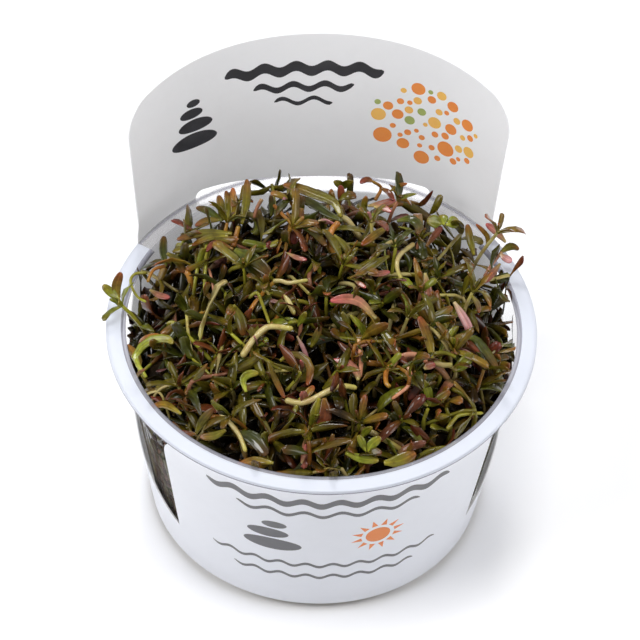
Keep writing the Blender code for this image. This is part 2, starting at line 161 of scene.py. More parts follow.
def new_group(name: str, inputs: dict[str, object], outputs: dict[str, str]) -> tuple[Graph, object, object]:
    """Start a shader node group.

    Args:
        name: The group's name.
        inputs: Default value of each input. A number makes a float socket and a tuple a colour.
        outputs: Socket type of each output.

    Returns:
        The group's graph, its input node and its output node.
    """
    tree = bpy.data.node_groups.new(name, "ShaderNodeTree")
    for label, value in inputs.items():
        kind = "NodeSocketColor" if isinstance(value, tuple) else "NodeSocketFloat"
        socket = tree.interface.new_socket(name=label, in_out="INPUT", socket_type=kind)
        socket.default_value = value
    for label, kind in outputs.items():
        tree.interface.new_socket(name=label, in_out="OUTPUT", socket_type=kind)
    graph = Graph(tree)
    return graph, graph.add("NodeGroupInput"), graph.add("NodeGroupOutput")


def grain_group() -> bpy.types.NodeTree:
    """Fine unevenness of a surface.

    Returns:
        A group that puts out a bump height and a roughness that varies over the surface.
    """
    found = bpy.data.node_groups.get("surface_grain")
    if found:
        return found
    inputs = {"Scale": 900.0, "Roughness": 0.4, "Spread": 0.1}
    outputs = {"Height": "NodeSocketFloat", "Roughness": "NodeSocketFloat"}
    graph, given, result = new_group("surface_grain", inputs, outputs)
    broad_share = 0.16
    rough_gain = 4.0
    place = graph.add("ShaderNodeTexCoord").outputs["Object"]
    fine = graph.add(
        "ShaderNodeTexNoise",
        {"Vector": place, "Scale": given.outputs["Scale"], "Detail": 3.0, "Roughness": 0.6},
    )
    broad_scale = graph.math("MULTIPLY", given.outputs["Scale"], broad_share)
    broad = graph.add("ShaderNodeTexNoise", {"Vector": place, "Scale": broad_scale, "Detail": 1.0})
    offset = graph.math("SUBTRACT", broad.outputs["Fac"], 0.5)
    change = graph.math("MULTIPLY", offset, given.outputs["Spread"])
    rough = graph.math("ADD", given.outputs["Roughness"], graph.math("MULTIPLY", change, rough_gain))
    graph.feed(result.inputs["Height"], fine.outputs["Fac"])
    graph.feed(result.inputs["Roughness"], graph.add("ShaderNodeClamp", {0: rough}).outputs[0])
    return graph.tree


def blotch_group() -> bpy.types.NodeTree:
    """Uneven colour of grown things and of printed card.

    Returns:
        A group that puts out a colour, drawn towards a second one in soft blotches.
    """
    found = bpy.data.node_groups.get("blotches")
    if found:
        return found
    inputs = {"Color": (0.5, 0.5, 0.5, 1.0), "Second": (0.2, 0.2, 0.2, 1.0), "Scale": 600.0, "Amount": 0.4}
    graph, given, result = new_group("blotches", inputs, {"Color": "NodeSocketColor"})
    place = graph.add("ShaderNodeTexCoord").outputs["Object"]
    patches = graph.add(
        "ShaderNodeTexNoise",
        {"Vector": place, "Scale": given.outputs["Scale"], "Detail": 4.0, "Roughness": 0.62},
    )
    low, high = 0.42, 0.68
    share = graph.span(patches.outputs["Fac"], low, high, 0.0, given.outputs["Amount"])
    graph.feed(result.inputs["Color"], graph.mix(share, given.outputs["Color"], given.outputs["Second"]))
    return graph.tree


# Finishes


def start_material(name: str) -> tuple[bpy.types.Material, Graph, bpy.types.Node]:
    """A new material with an output and a Principled shader.

    Args:
        name: The material's name.

    Returns:
        The material, its graph and its shader.
    """
    material = bpy.data.materials.new(name)
    material.use_nodes = True
    graph = Graph(material.node_tree)
    shader = graph.add("ShaderNodeBsdfPrincipled")
    graph.add("ShaderNodeOutputMaterial", {"Surface": shader.outputs[0]})
    return material, graph, shader


def blotched(graph: Graph, color: object, second: object, scale: float, amount: float) -> object:
    """Draw a colour towards a second one in soft blotches, and return the output."""
    feeds = {"Color": color, "Second": second, "Scale": scale, "Amount": amount}
    return graph.add("ShaderNodeGroup", feeds, node_tree=blotch_group()).outputs["Color"]


@dataclass(frozen=True)
class Grain:
    """Fine unevenness of a finish: its scale, its depth and how far the roughness varies."""

    scale: float
    depth: float
    spread: float

    def feeds(self, graph: Graph, roughness: float) -> dict[str, bpy.types.NodeSocket]:
        """Add the grain to a material.

        Args:
            graph: The material's graph.
            roughness: The finish's mean roughness.

        Returns:
            What goes into the shader's inputs.
        """
        given = {"Scale": self.scale, "Roughness": roughness, "Spread": self.spread}
        grain = graph.add("ShaderNodeGroup", given, node_tree=grain_group())
        bump = graph.add("ShaderNodeBump", {"Height": grain.outputs["Height"], "Distance": self.depth})
        return {"Roughness": grain.outputs["Roughness"], "Normal": bump.outputs[0]}


@dataclass(frozen=True)
class ClearPlastic:
    """Thin thermoformed plastic: clear, or hazy where a film lid was sealed to it. A darker tint makes
    painted reflection, a lighter one painted backlight.
    """

    name: str = "clear_plastic"
    color: Color = (0.96, 0.97, 0.99)
    clearness: float = 0.98
    roughness: float = 0.06
    refraction: float = 1.2
    grain: Grain = Grain(700.0, 0.00001, 0.03)
    light_passed: float = 0.9
    edge_passed: float = 0.92
    edge_span: Pair = (0.08, 0.42)

    def material(self) -> bpy.types.Material:
        """Build the finish. Light goes straight through the thin wall, and so does a grazing view.

        Returns:
            The material.
        """
        material, graph, shader = start_material(self.name)
        feeds = {
            "Base Color": (*self.color, 1.0),
            "IOR": self.refraction,
            "Transmission Weight": self.clearness,
        }
        graph.feed_all(shader, feeds | self.grain.feeds(graph, self.roughness))
        ray = graph.add("ShaderNodeLightPath").outputs
        shadow = graph.math("MAXIMUM", ray["Is Shadow Ray"], ray["Is Diffuse Ray"])
        away = graph.add("ShaderNodeLayerWeight", {"Blend": 0.5}).outputs["Facing"]
        edge = graph.span(away, *self.edge_span, 0.0, self.edge_passed)
        passed = graph.math("MAXIMUM", graph.math("MULTIPLY", shadow, self.light_passed), edge)
        open_way = graph.add("ShaderNodeBsdfTransparent")
        mixed = graph.add("ShaderNodeMixShader", {0: passed, 1: shader.outputs[0], 2: open_way.outputs[0]})
        output = next(node for node in graph.tree.nodes if node.type == "OUTPUT_MATERIAL")
        graph.feed(output.inputs["Surface"], mixed.outputs[0])
        return material


@dataclass(frozen=True)
class PrintedCard:
    """Coated card, bare or under a flat ink."""

    name: str
    color: Color
    second: Color
    amount: float = 0.25
    roughness: float = 0.42
    blotch_scale: float = 260.0
    grain: Grain = Grain(1500.0, 0.000015, 0.05)
    glow: float = 0.5
    glow_depth: float = 0.0025

    def material(self) -> bpy.types.Material:
        """Build the finish.

        Returns:
            The material.
        """
        material, graph, shader = start_material(self.name)
        color, second = (*self.color, 1.0), (*self.second, 1.0)
        feeds = {
            "Base Color": blotched(graph, color, second, self.blotch_scale, self.amount),
            "Subsurface Weight": self.glow,
            "Subsurface Radius": (1.0, 1.0, 1.0),
            "Subsurface Scale": self.glow_depth,
        }
        graph.feed_all(shader, feeds | self.grain.feeds(graph, self.roughness))
        return material


@dataclass(frozen=True)
class WetTissue:
    """Wet living tissue whose own colour, with painted shade multiplied in, is in the mesh's tone attribute.
    """

    name: str
    second: Color
    amount: float
    roughness: float
    coat: float
    vein: float
    blotch_scale: float = 420.0
    grain: Grain = Grain(1250.0, 0.00014, 0.16)
    coat_roughness: float = 0.04
    shine: float = 0.12
    rib_span: Pair = (0.02, 0.10)
    rib_gain: Color = (2.2, 2.1, 1.9)

    def material(self) -> bpy.types.Material:
        """Build the finish.

        Returns:
            The material.
        """
        material, graph, shader = start_material(self.name)
        tone = graph.add("ShaderNodeAttribute", attribute_name=Batch.TONE).outputs["Color"]
        dark = graph.mix(1.0, tone, (*self.second, 1.0), "MULTIPLY")
        patches = blotched(graph, tone, dark, self.blotch_scale, self.amount)
        across = graph.add("ShaderNodeUVMap", uv_map=Batch.BLADE)
        side = graph.add("ShaderNodeSeparateXYZ", {0: across.outputs[0]}).outputs["X"]
        away = graph.math("ABSOLUTE", graph.math("SUBTRACT", side, 0.5))
        rib = graph.span(away, *self.rib_span, self.vein, 0.0)
        pale = graph.mix(1.0, patches, (*self.rib_gain, 1.0), "MULTIPLY")
        feeds = {
            "Base Color": graph.mix(rib, patches, pale),
            "Coat Weight": self.coat,
            "Coat Roughness": self.coat_roughness,
            "Specular IOR Level": self.shine,
        }
        graph.feed_all(shader, feeds | self.grain.feeds(graph, self.roughness))
        return material


@dataclass(frozen=True)
class ShadedMass:
    """A matte, blotched finish: the near-black painted shade of the tangle, and the gel's own colour."""

    name: str
    color: Color
    second: Color
    roughness: float
    blotch_scale: float = 320.0
    grain: Grain = Grain(800.0, 0.0004, 0.1)
    shine: float = 0.12

    def material(self) -> bpy.types.Material:
        """Build the finish.

        Returns:
            The material.
        """
        material, graph, shader = start_material(self.name)
        color, second = (*self.color, 1.0), (*self.second, 1.0)
        feeds = {
            "Base Color": blotched(graph, color, second, self.blotch_scale, 1.0),
            "Specular IOR Level": self.shine,
        }
        graph.feed_all(shader, feeds | self.grain.feeds(graph, self.roughness))
        return material


# Shared mesh work


def link_object(name: str, data: bpy.types.ID) -> bpy.types.Object:
    """Make an object of a mesh, a light or a camera and put it into the scene.

    Args:
        name: The object's name.
        data: Its mesh, light or camera.

    Returns:
        The new object.
    """
    thing = bpy.data.objects.new(name, data)
    bpy.context.scene.collection.objects.link(thing)
    return thing


def add_piece(name: str, mesh: bpy.types.Mesh, materials: Materials) -> bpy.types.Object:
    """Put a finished mesh into the scene as a piece that rides on the part.

    Args:
        name: The piece's name.
        mesh: Its mesh, in place.
        materials: Its material slots.

    Returns:
        The new object.
    """
    for material in materials:
        mesh.materials.append(material)
    piece = link_object(name, mesh)
    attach(piece, ROOT)
    LOG.info("%s: %d vertices, %d faces", name, len(mesh.vertices), len(mesh.polygons))
    return piece


def smooth_mesh(name: str, bm: bmesh.types.BMesh, sharp_degrees: float) -> bpy.types.Mesh:
    """Turn a bmesh into a smooth-shaded mesh whose steep edges stay sharp.

    Args:
        name: The mesh's name.
        bm: The bmesh, freed here.
        sharp_degrees: Edges steeper than this stay sharp.

    Returns:
        The mesh.
    """
    mesh = bpy.data.meshes.new(name)
    bm.to_mesh(mesh)
    bm.free()
    mesh.shade_smooth()
    mesh.set_sharp_from_angle(angle=math.radians(sharp_degrees))
    return mesh


def lathe(profile: list[Pair], segments: int) -> bmesh.types.BMesh:
    """Turn a profile about Z.

    Args:
        profile: (radius, height) points, with both ends on the axis.
        segments: Steps of the full turn.

    Returns:
        A closed bmesh with its normals outward.
    """
    bm = bmesh.new()
    verts = [bm.verts.new((radius, 0.0, height)) for radius, height in profile]
    edges = [bm.edges.new(pair) for pair in zip(verts, verts[1:])]
    bmesh.ops.spin(bm, geom=verts + edges, axis=UP, angle=math.tau, steps=segments, use_merge=True)
    bmesh.ops.remove_doubles(bm, verts=bm.verts, dist=WELD)
    bmesh.ops.recalc_face_normals(bm, faces=bm.faces)
    return bm


def rounded(profile: list[tuple[float, float, float]], steps: int = 4) -> list[Pair]:
    """Round the corners of a profile.

    Args:
        profile: (radius, height, rounding) points, whose two ends stay as they are.
        steps: Stretches in each rounded corner.

    Returns:
        The (radius, height) points of the longer profile.
    """
    most = 0.48
    points = [Vector(point[:2]) for point in profile]
    sizes = [point[2] for point in profile]
    result = [points[0]]
    for before, corner, after, size in zip(points, points[1:], points[2:], sizes[1:]):
        cut = min(size, (before - corner).length * most, (after - corner).length * most)
        start = corner + (before - corner).normalized() * cut
        end = corner + (after - corner).normalized() * cut
        for step in range(steps + 1):
            share = step / steps
            result.append(start.lerp(corner, share).lerp(corner.lerp(end, share), share))
    result.append(points[-1])
    return [tuple(point) for point in result]


# Cup


class HazeAndPaintedLight(Enum):
    """The finishes of the cup's zones, in the order of its material slots: clear wall, the throat's painted
    reflection, the hazy sealed flange, and the flange's back with painted backlight.
    """

    NONE = ClearPlastic()
    # painted reflection: grey-violet tint on the throat's ring and the lip's lower edge
    THROAT = ClearPlastic("throat_painted_reflection", (0.36, 0.36, 0.42), 0.45, roughness=0.22, edge_passed=0.0)
    FLANGE = ClearPlastic("sealed_flange", (0.71, 0.74, 0.82), 0.25, roughness=0.35, edge_passed=0.0)
    # painted backlight: a lighter, clearer tint on the back of the flange, as if lit from behind
    BACK = ClearPlastic("flange_painted_backlight", (0.84, 0.83, 0.85), 0.75, roughness=0.18, edge_passed=0.6)


@dataclass(frozen=True)
class Cup:
    """The clear cup: flat foot, tapered wall, narrow throat and hazy flange with a short lip. A grey-violet
    painted reflection lies on the throat's ring and the lip's lower edge, and painted backlight on the back
    of the flange.
    """

    throat_radius: float = 0.0458
    throat_round: float = 0.0011
    throat_drop: float = 0.0026
    ring_depth: float = 0.0013
    flange_thickness: float = 0.0007
    lip_depth: float = 0.0013
    lip_thickness: float = 0.0006
    lip_hazy_share: float = 0.62
    foot_radius: float = 0.0388
    wall: float = 0.0004
    neck_wall: float = 0.0007
    neck_depth: float = 0.0046
    foot_round: float = 0.0010
    draft: float = 0.1555
    haze_start: float = 0.0470
    # the back sector that takes the painted backlight
    bright_back: float = math.cos(math.radians(57.0))
    corner_round: float = 0.0003
    segments: int = 144
    sharp_degrees: float = 50.0

    @property
    def lip_line(self) -> float:
        """Height above which the lip's edge is pressed flat and hazy. Below it the lip takes the throat's
        painted reflection as a dark edge line.
        """
        return RIM_HEIGHT - self.lip_depth * self.lip_hazy_share

    def outer_radius(self, height: float) -> float:
        """Outside radius of the tapered wall."""
        return self.foot_radius + self.draft * height

    def inner_radius(self, height: float) -> float:
        """Inside radius of the tapered wall."""
        return self.outer_radius(height) - self.wall

    def profile(self) -> list[tuple[float, float, float]]:
        """The cup's section from the middle of the underside round to the middle of the floor.

        Returns:
            Its (radius, height, rounding) points.
        """
        small = self.corner_round
        under = RIM_HEIGHT - self.flange_thickness
        neck = RIM_HEIGHT - self.throat_drop
        lip_inner = RIM_RADIUS - self.lip_thickness
        floor_round = self.wall + self.foot_round / 2
        outside = self.throat_radius + self.neck_wall
        return [
            (0.0, 0.0, 0.0),
            (self.foot_radius - self.foot_round / 2, 0.0, small),
            (self.outer_radius(self.foot_round), self.foot_round, small),
            (outside, neck - self.neck_depth, small * 4),
            (outside, neck - self.neck_wall / 2, small),
            (outside, under, self.throat_round * 0.6),
            (lip_inner, under, small),
            (lip_inner, RIM_HEIGHT - self.lip_depth, small),
            (RIM_RADIUS, RIM_HEIGHT - self.lip_depth, small),
            (RIM_RADIUS, self.lip_line, 0.0),
            (RIM_RADIUS, RIM_HEIGHT, small * 2),
            (self.haze_start, RIM_HEIGHT, 0.0),
            (self.throat_radius, RIM_HEIGHT, self.throat_round),
            (self.throat_radius, neck, small),
            (self.throat_radius, neck - self.neck_depth, small * 4),
            (self.inner_radius(floor_round), floor_round, small),
            (self.foot_radius - self.foot_round, self.wall, small),
            (0.0, self.wall, 0.0),
        ]

    def zone_at(self, place: Vector) -> HazeAndPaintedLight:
        """The finish at a place.

        Args:
            place: Centre of a face.

        Returns:
            The zone that it lies in.
        """
        at_back = place.y > self.bright_back * place.xy.length
        if place.xy.length > self.haze_start and place.z > self.lip_line:
            # the back of the flange takes the painted backlight
            return HazeAndPaintedLight.BACK if at_back else HazeAndPaintedLight.FLANGE
        # the throat's ring takes the painted reflection except at the back, and so does the lip below its
        # hazy edge
        in_ring = place.z > RIM_HEIGHT - self.ring_depth and not at_back
        return HazeAndPaintedLight.THROAT if in_ring or place.xy.length > self.haze_start else HazeAndPaintedLight.NONE

    def build(self) -> None:
        """Build the cup in place of its CAD node."""
        bm = lathe(rounded(self.profile()), self.segments)
        for face in bm.faces:
            face.material_index = list(HazeAndPaintedLight).index(self.zone_at(face.calc_center_median()))
        finishes = [zone.value.material() for zone in HazeAndPaintedLight]
        cup = add_piece("clear_cup", smooth_mesh("clear_cup", bm, self.sharp_degrees), finishes)
        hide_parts("cup")


# Card sleeve


class Ink(Enum):
    """The card's surface, bare or printed, by its two colours and in the order of its material slots."""

    BARE = ((0.83, 0.83, 0.86), (0.79, 0.79, 0.82))
    BLACK = ((0.012, 0.012, 0.014), (0.03, 0.03, 0.032))
    GREY = ((0.10, 0.10, 0.11), (0.15, 0.15, 0.16))
    ORANGE = ((0.80, 0.20, 0.025), (0.70, 0.13, 0.02))
    AMBER = ((0.85, 0.40, 0.05), (0.80, 0.30, 0.04))
    GREEN = ((0.28, 0.34, 0.06), (0.20, 0.26, 0.05))
    # the outside's coated stock, its bluish tint partly a painted reflection of the sky
    COATED_PAINTED_REFLECTION = ((0.82, 0.845, 0.935), (0.78, 0.805, 0.89))

    @property
    def finish(self) -> PrintedCard:
        """The card's finish under this ink."""
        return PrintedCard(f"card_{self.name.lower()}", *self.value)


Outline = list[Pair]


@dataclass(frozen=True)
class Motif:
    """One printed shape, closed, in degrees round the sleeve and metres up it, on one side of the card."""

    ink: Ink
    inside: bool
    outline: Outline


@dataclass(frozen=True)
class Sleeve:
    """The one-piece card sleeve, whose back rises as a tab with the rim's slot below it."""

    thickness: float = 0.00035
    foot_radius: float = 0.0395
    draft: float = 0.1555
    low_edge: float = 0.0022
    front_drop: float = 0.0038
    tab_lean: float = 0.13
    bulge: float = 0.0041
    bulge_start_height: float = 0.008
    bulge_full_angle: float = 43.0
    left_fade_angles: Pair = (58.0, 98.0)
    right_fade_angles: Pair = (65.0, 118.0)
    bulge_loss: float = 11.7
    tab_rise: float = 0.043
    tab_arch_radius: float = 0.235
    tab_corner_radius: float = 0.009
    tab_half_width: float = 0.0521
    tab_reference_radius: float = 0.0548
    tab_root_angle: float = 53.8
    tab_root_rise: float = 0.002
    notch_tip_height: float = 0.0141
    notch_right_angle: float = 124.0
    notch_left_angle: float = -126.3
    notch_roundness: float = 0.55
    notch_corner_radius: float = 0.0090
    slot_half_angle: float = 33.5
    slot_drop: float = 0.0039
    slot_rise: float = 0.0005
    seam_angle: float = 127.0
    strip_degrees: float = 3.0
    row_height: float = 0.004
    corner_steps: int = 10
    arch_steps: int = 16
    notch_steps: int = 28
    slot_steps: int = 12
    sharp_degrees: float = 40.0
    cut_snap: float = 1e-7

    def radius(self, angle: float, height: float) -> float:
        """Outside radius. Beside the slot the card stands off the cup to pass outside the rim.

        Args:
            angle: Degrees from the middle of the tab.
            height: Height above the cup's underside.

        Returns:
            The radius.
        """
        fade_start, fade_end = self.right_fade_angles if angle > 0.0 else self.left_fade_angles
        turn = abs(angle)
        fade = 1.0 - ease((turn - fade_start) / (fade_end - fade_start))
        across = ease(turn / self.bulge_full_angle) * fade
        if height <= RIM_HEIGHT:
            cone = self.foot_radius + self.draft * height
            rise = (height - self.bulge_start_height) / (RIM_HEIGHT - self.bulge_start_height)
            up = max(0.0, rise)
        else:
            above = height - RIM_HEIGHT
            cone = self.foot_radius + self.draft * RIM_HEIGHT + self.tab_lean * above
            up = 1.0 - self.bulge_loss * above
        return cone + self.bulge * across * up

    def wrap(self, angle: float, height: float, depth: float) -> Vector:
        """Take a point of the flat card to its place round the cup.

        Args:
            angle: Degrees from the middle of the tab.
            height: Height above the cup's underside.
            depth: Depth below the card's outside face.

        Returns:
            The point.
        """
        radius = self.radius(angle, height) - depth
        turn = math.radians(angle)
        return Vector((radius * math.sin(turn), radius * math.cos(turn), height))

    def tab_outline(self) -> Outline:
        """Right half of the tab, from its root at the rim to the middle of its arched top.

        Returns:
            Its points.
        """
        arch_centre = RIM_HEIGHT + self.tab_rise - self.tab_arch_radius
        corner_x = self.tab_half_width - self.tab_corner_radius
        reach = self.tab_arch_radius - self.tab_corner_radius
        corner_z = arch_centre + math.sqrt(reach**2 - corner_x**2)
        end_turn = math.atan2(corner_z - arch_centre, corner_x)
        to_angle = math.degrees(1.0 / self.tab_reference_radius)
        points = [(self.tab_root_angle, RIM_HEIGHT + self.tab_root_rise)]
        for step in range(self.corner_steps + 1):
            turn = end_turn * step / self.corner_steps
            x = corner_x + self.tab_corner_radius * math.cos(turn)
            z = corner_z + self.tab_corner_radius * math.sin(turn)
            points.append((x * to_angle, z))
        arch_end = points[-1][0] / to_angle
        for step in range(1, self.arch_steps + 1):
            x = arch_end * (1.0 - step / self.arch_steps)
            points.append((x * to_angle, arch_centre + math.sqrt(self.tab_arch_radius**2 - x**2)))
        return points

    def notch_outline(self, tip_angle: float) -> Outline:
        """Curved edge of one side opening, from its low tip up to the root of the tab.

        Args:
            tip_angle: Where the tip is, as an angle from the middle of the tab.

        Returns:
            Its points, without the tab's root.
        """
        root = math.copysign(self.tab_root_angle, tip_angle)
        rise = RIM_HEIGHT + self.tab_root_rise - self.notch_tip_height
        points = []
        for step in range(self.notch_steps):
            share = step / self.notch_steps
            round_rise = 1.0 - math.sqrt(1.0 - share**2)
            climb = blend(share, round_rise, self.notch_roundness)
            points.append((tip_angle + (root - tip_angle) * share, self.notch_tip_height + rise * climb))
        return points

    def notch_corner(self) -> Outline:
        """Round corner between the front's top edge and the left opening.

        Returns:
            Its points.
        """
        radius = self.notch_corner_radius
        top = RIM_HEIGHT - self.front_drop
        per_metre = math.degrees(1.0 / self.radius(self.notch_left_angle, top))
        points = []
        for step in range(self.corner_steps + 1):
            turn = math.pi / 2 * (1.0 - step / self.corner_steps)
            back = radius * (1.0 - math.cos(turn)) * per_metre
            points.append((self.notch_left_angle - back, top - radius * (1.0 - math.sin(turn))))
        return points

    def slot_outline(self) -> Outline:
        """The slot at the back that the rim pokes through, with round ends.

        Returns:
            Its outline.
        """
        radius = (self.slot_rise + self.slot_drop) / 2
        middle = RIM_HEIGHT + (self.slot_rise - self.slot_drop) / 2
        per_metre = math.degrees(1.0 / self.radius(self.slot_half_angle, middle))
        points = []
        for side in (1, -1):
            for step in range(self.slot_steps + 1):
                turn = side * math.pi * (0.5 - step / self.slot_steps)
                reach = self.slot_half_angle - radius * per_metre * (1.0 - math.cos(turn))
                points.append((side * reach, middle + radius * math.sin(turn)))
        return points

    def outline(self) -> Outline:
        """Whole outline of the flat card, whose two ends meet beside the right opening.

        Returns:
            The outline, closed.
        """
        tab = self.tab_outline()
        front_top = RIM_HEIGHT - self.front_drop
        far_end = self.seam_angle - 360.0
        left = [(far_end, front_top)] + self.notch_corner()
        left += self.notch_outline(self.notch_left_angle)
        left += [(-angle, height) for angle, height in tab]
        right = list(reversed(tab[:-1]))
        right += list(reversed(self.notch_outline(self.notch_right_angle)))
        right += [(self.notch_right_angle, front_top), (self.seam_angle, front_top)]
        return left + right + [(self.seam_angle, self.low_edge), (far_end, self.low_edge)]

    @staticmethod
    def add_loop(bm: bmesh.types.BMesh, points: Outline) -> list[bmesh.types.BMEdge]:
        """A closed loop of edges in the flat card's plane, where 1 degree is 1 mm."""
        verts = [bm.verts.new((angle * MM, height, 0.0)) for angle, height in points]
        return [bm.edges.new(pair) for pair in zip(verts, verts[1:] + verts[:1])]

    def cut_flat(self, motifs: list[Motif]) -> bmesh.types.BMesh:
        """The flat card with every printed shape cut into its surface.

        Args:
            motifs: The printed shapes of both sides.

        Returns:
            One flat sheet. Each face's material number tells its motif, with 0 for bare card.
        """
        bm = bmesh.new()
        loops = [self.add_loop(bm, motif.outline) for motif in motifs]
        edges = self.add_loop(bm, self.outline()) + self.add_loop(bm, self.slot_outline())
        edges += [edge for loop in loops for edge in loop]
        bmesh.ops.triangle_fill(bm, edges=edges, use_beauty=True, normal=(0.0, 0.0, 1.0))
        for number, loop in enumerate(loops, start=1):
            filled = bmesh.ops.triangle_fill(bm, edges=loop, use_beauty=True, normal=(0.0, 0.0, 1.0))
            for face in filled["geom"]:
                if isinstance(face, bmesh.types.BMFace):
                    face.material_index = number
        return bm

    def score(self, bm: bmesh.types.BMesh) -> None:
        """Cut a flat sheet into narrow strips and rows, so that it can bend.

        Args:
            bm: The sheet.
        """
        strips = round(360.0 / self.strip_degrees)
        angles = [self.seam_angle - self.strip_degrees * n for n in range(1, strips)]
        places = [(angle * MM, (1.0, 0.0, 0.0)) for angle in angles]
        rows = int((RIM_HEIGHT + self.tab_rise) / self.row_height)
        places += [(self.row_height * n, (0.0, 1.0, 0.0)) for n in range(1, rows + 1)]
        for place, normal in places:
            bmesh.ops.bisect_plane(
                bm,
                geom=bm.verts[:] + bm.edges[:] + bm.faces[:],
                dist=self.cut_snap,
                plane_co=Vector(normal) * place,
                plane_no=normal,
            )

    def build(self, motifs: list[Motif]) -> None:
        """Build the sleeve in place of its CAD node.

        Args:
            motifs: The printed shapes of both sides.
        """
        bm = self.cut_flat(motifs)
        self.score(bm)
        for face in bm.faces:
            if face.normal.z < 0:
                face.normal_flip()
        outer = bm.faces[:]
        inner = bmesh.ops.extrude_face_region(bm, geom=outer, use_keep_orig=True)["geom"]
        inner = [item for item in inner if isinstance(item, bmesh.types.BMFace)]
        moved = {vert for face in inner for vert in face.verts}
        bmesh.ops.translate(bm, verts=list(moved), vec=(0.0, 0.0, -self.thickness))
        bmesh.ops.delete(bm, geom=[face for face in bm.faces if self.in_seam(face)], context="FACES_ONLY")
        self.ink(bm, motifs)
        for vert in bm.verts:
            vert.co = self.wrap(vert.co.x / MM, vert.co.y, -vert.co.z)
        bmesh.ops.remove_doubles(bm, verts=bm.verts, dist=WELD)
        bmesh.ops.recalc_face_normals(bm, faces=bm.faces)
        mesh = smooth_mesh("printed_sleeve", bm, self.sharp_degrees)
        sleeve = add_piece("printed_sleeve", mesh, [ink.finish.material() for ink in Ink])
        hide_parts("card_sleeve")

    def in_seam(self, face: bmesh.types.BMFace) -> bool:
        """Whether a face is one of the two end walls that meet in the seam."""
        ends = (self.seam_angle * MM, (self.seam_angle - 360.0) * MM)
        return any(all(abs(vert.co.x - end) < WELD for vert in face.verts) for end in ends)

    def ink(self, bm: bmesh.types.BMesh, motifs: list[Motif]) -> None:
        """Turn each face's motif number into its ink, on the side that the motif is printed on.

        Args:
            bm: The card, still flat.
            motifs: The printed shapes of both sides.
        """
        for face in bm.faces:
            on_inside = max(vert.co.z for vert in face.verts) < -self.thickness / 2
            on_outside = min(vert.co.z for vert in face.verts) > -self.thickness / 2
            # the outside takes the bluish tint, partly painted reflection
            ink = Ink.COATED_PAINTED_REFLECTION if on_outside else Ink.BARE
            if face.material_index:
                motif = motifs[face.material_index - 1]
                if (motif.inside and on_inside) or (not motif.inside and on_outside):
                    ink = motif.ink
            face.material_index = list(Ink).index(ink)


Stroke = tuple[float, float, float]
Pebble = tuple[float, float, float, float]


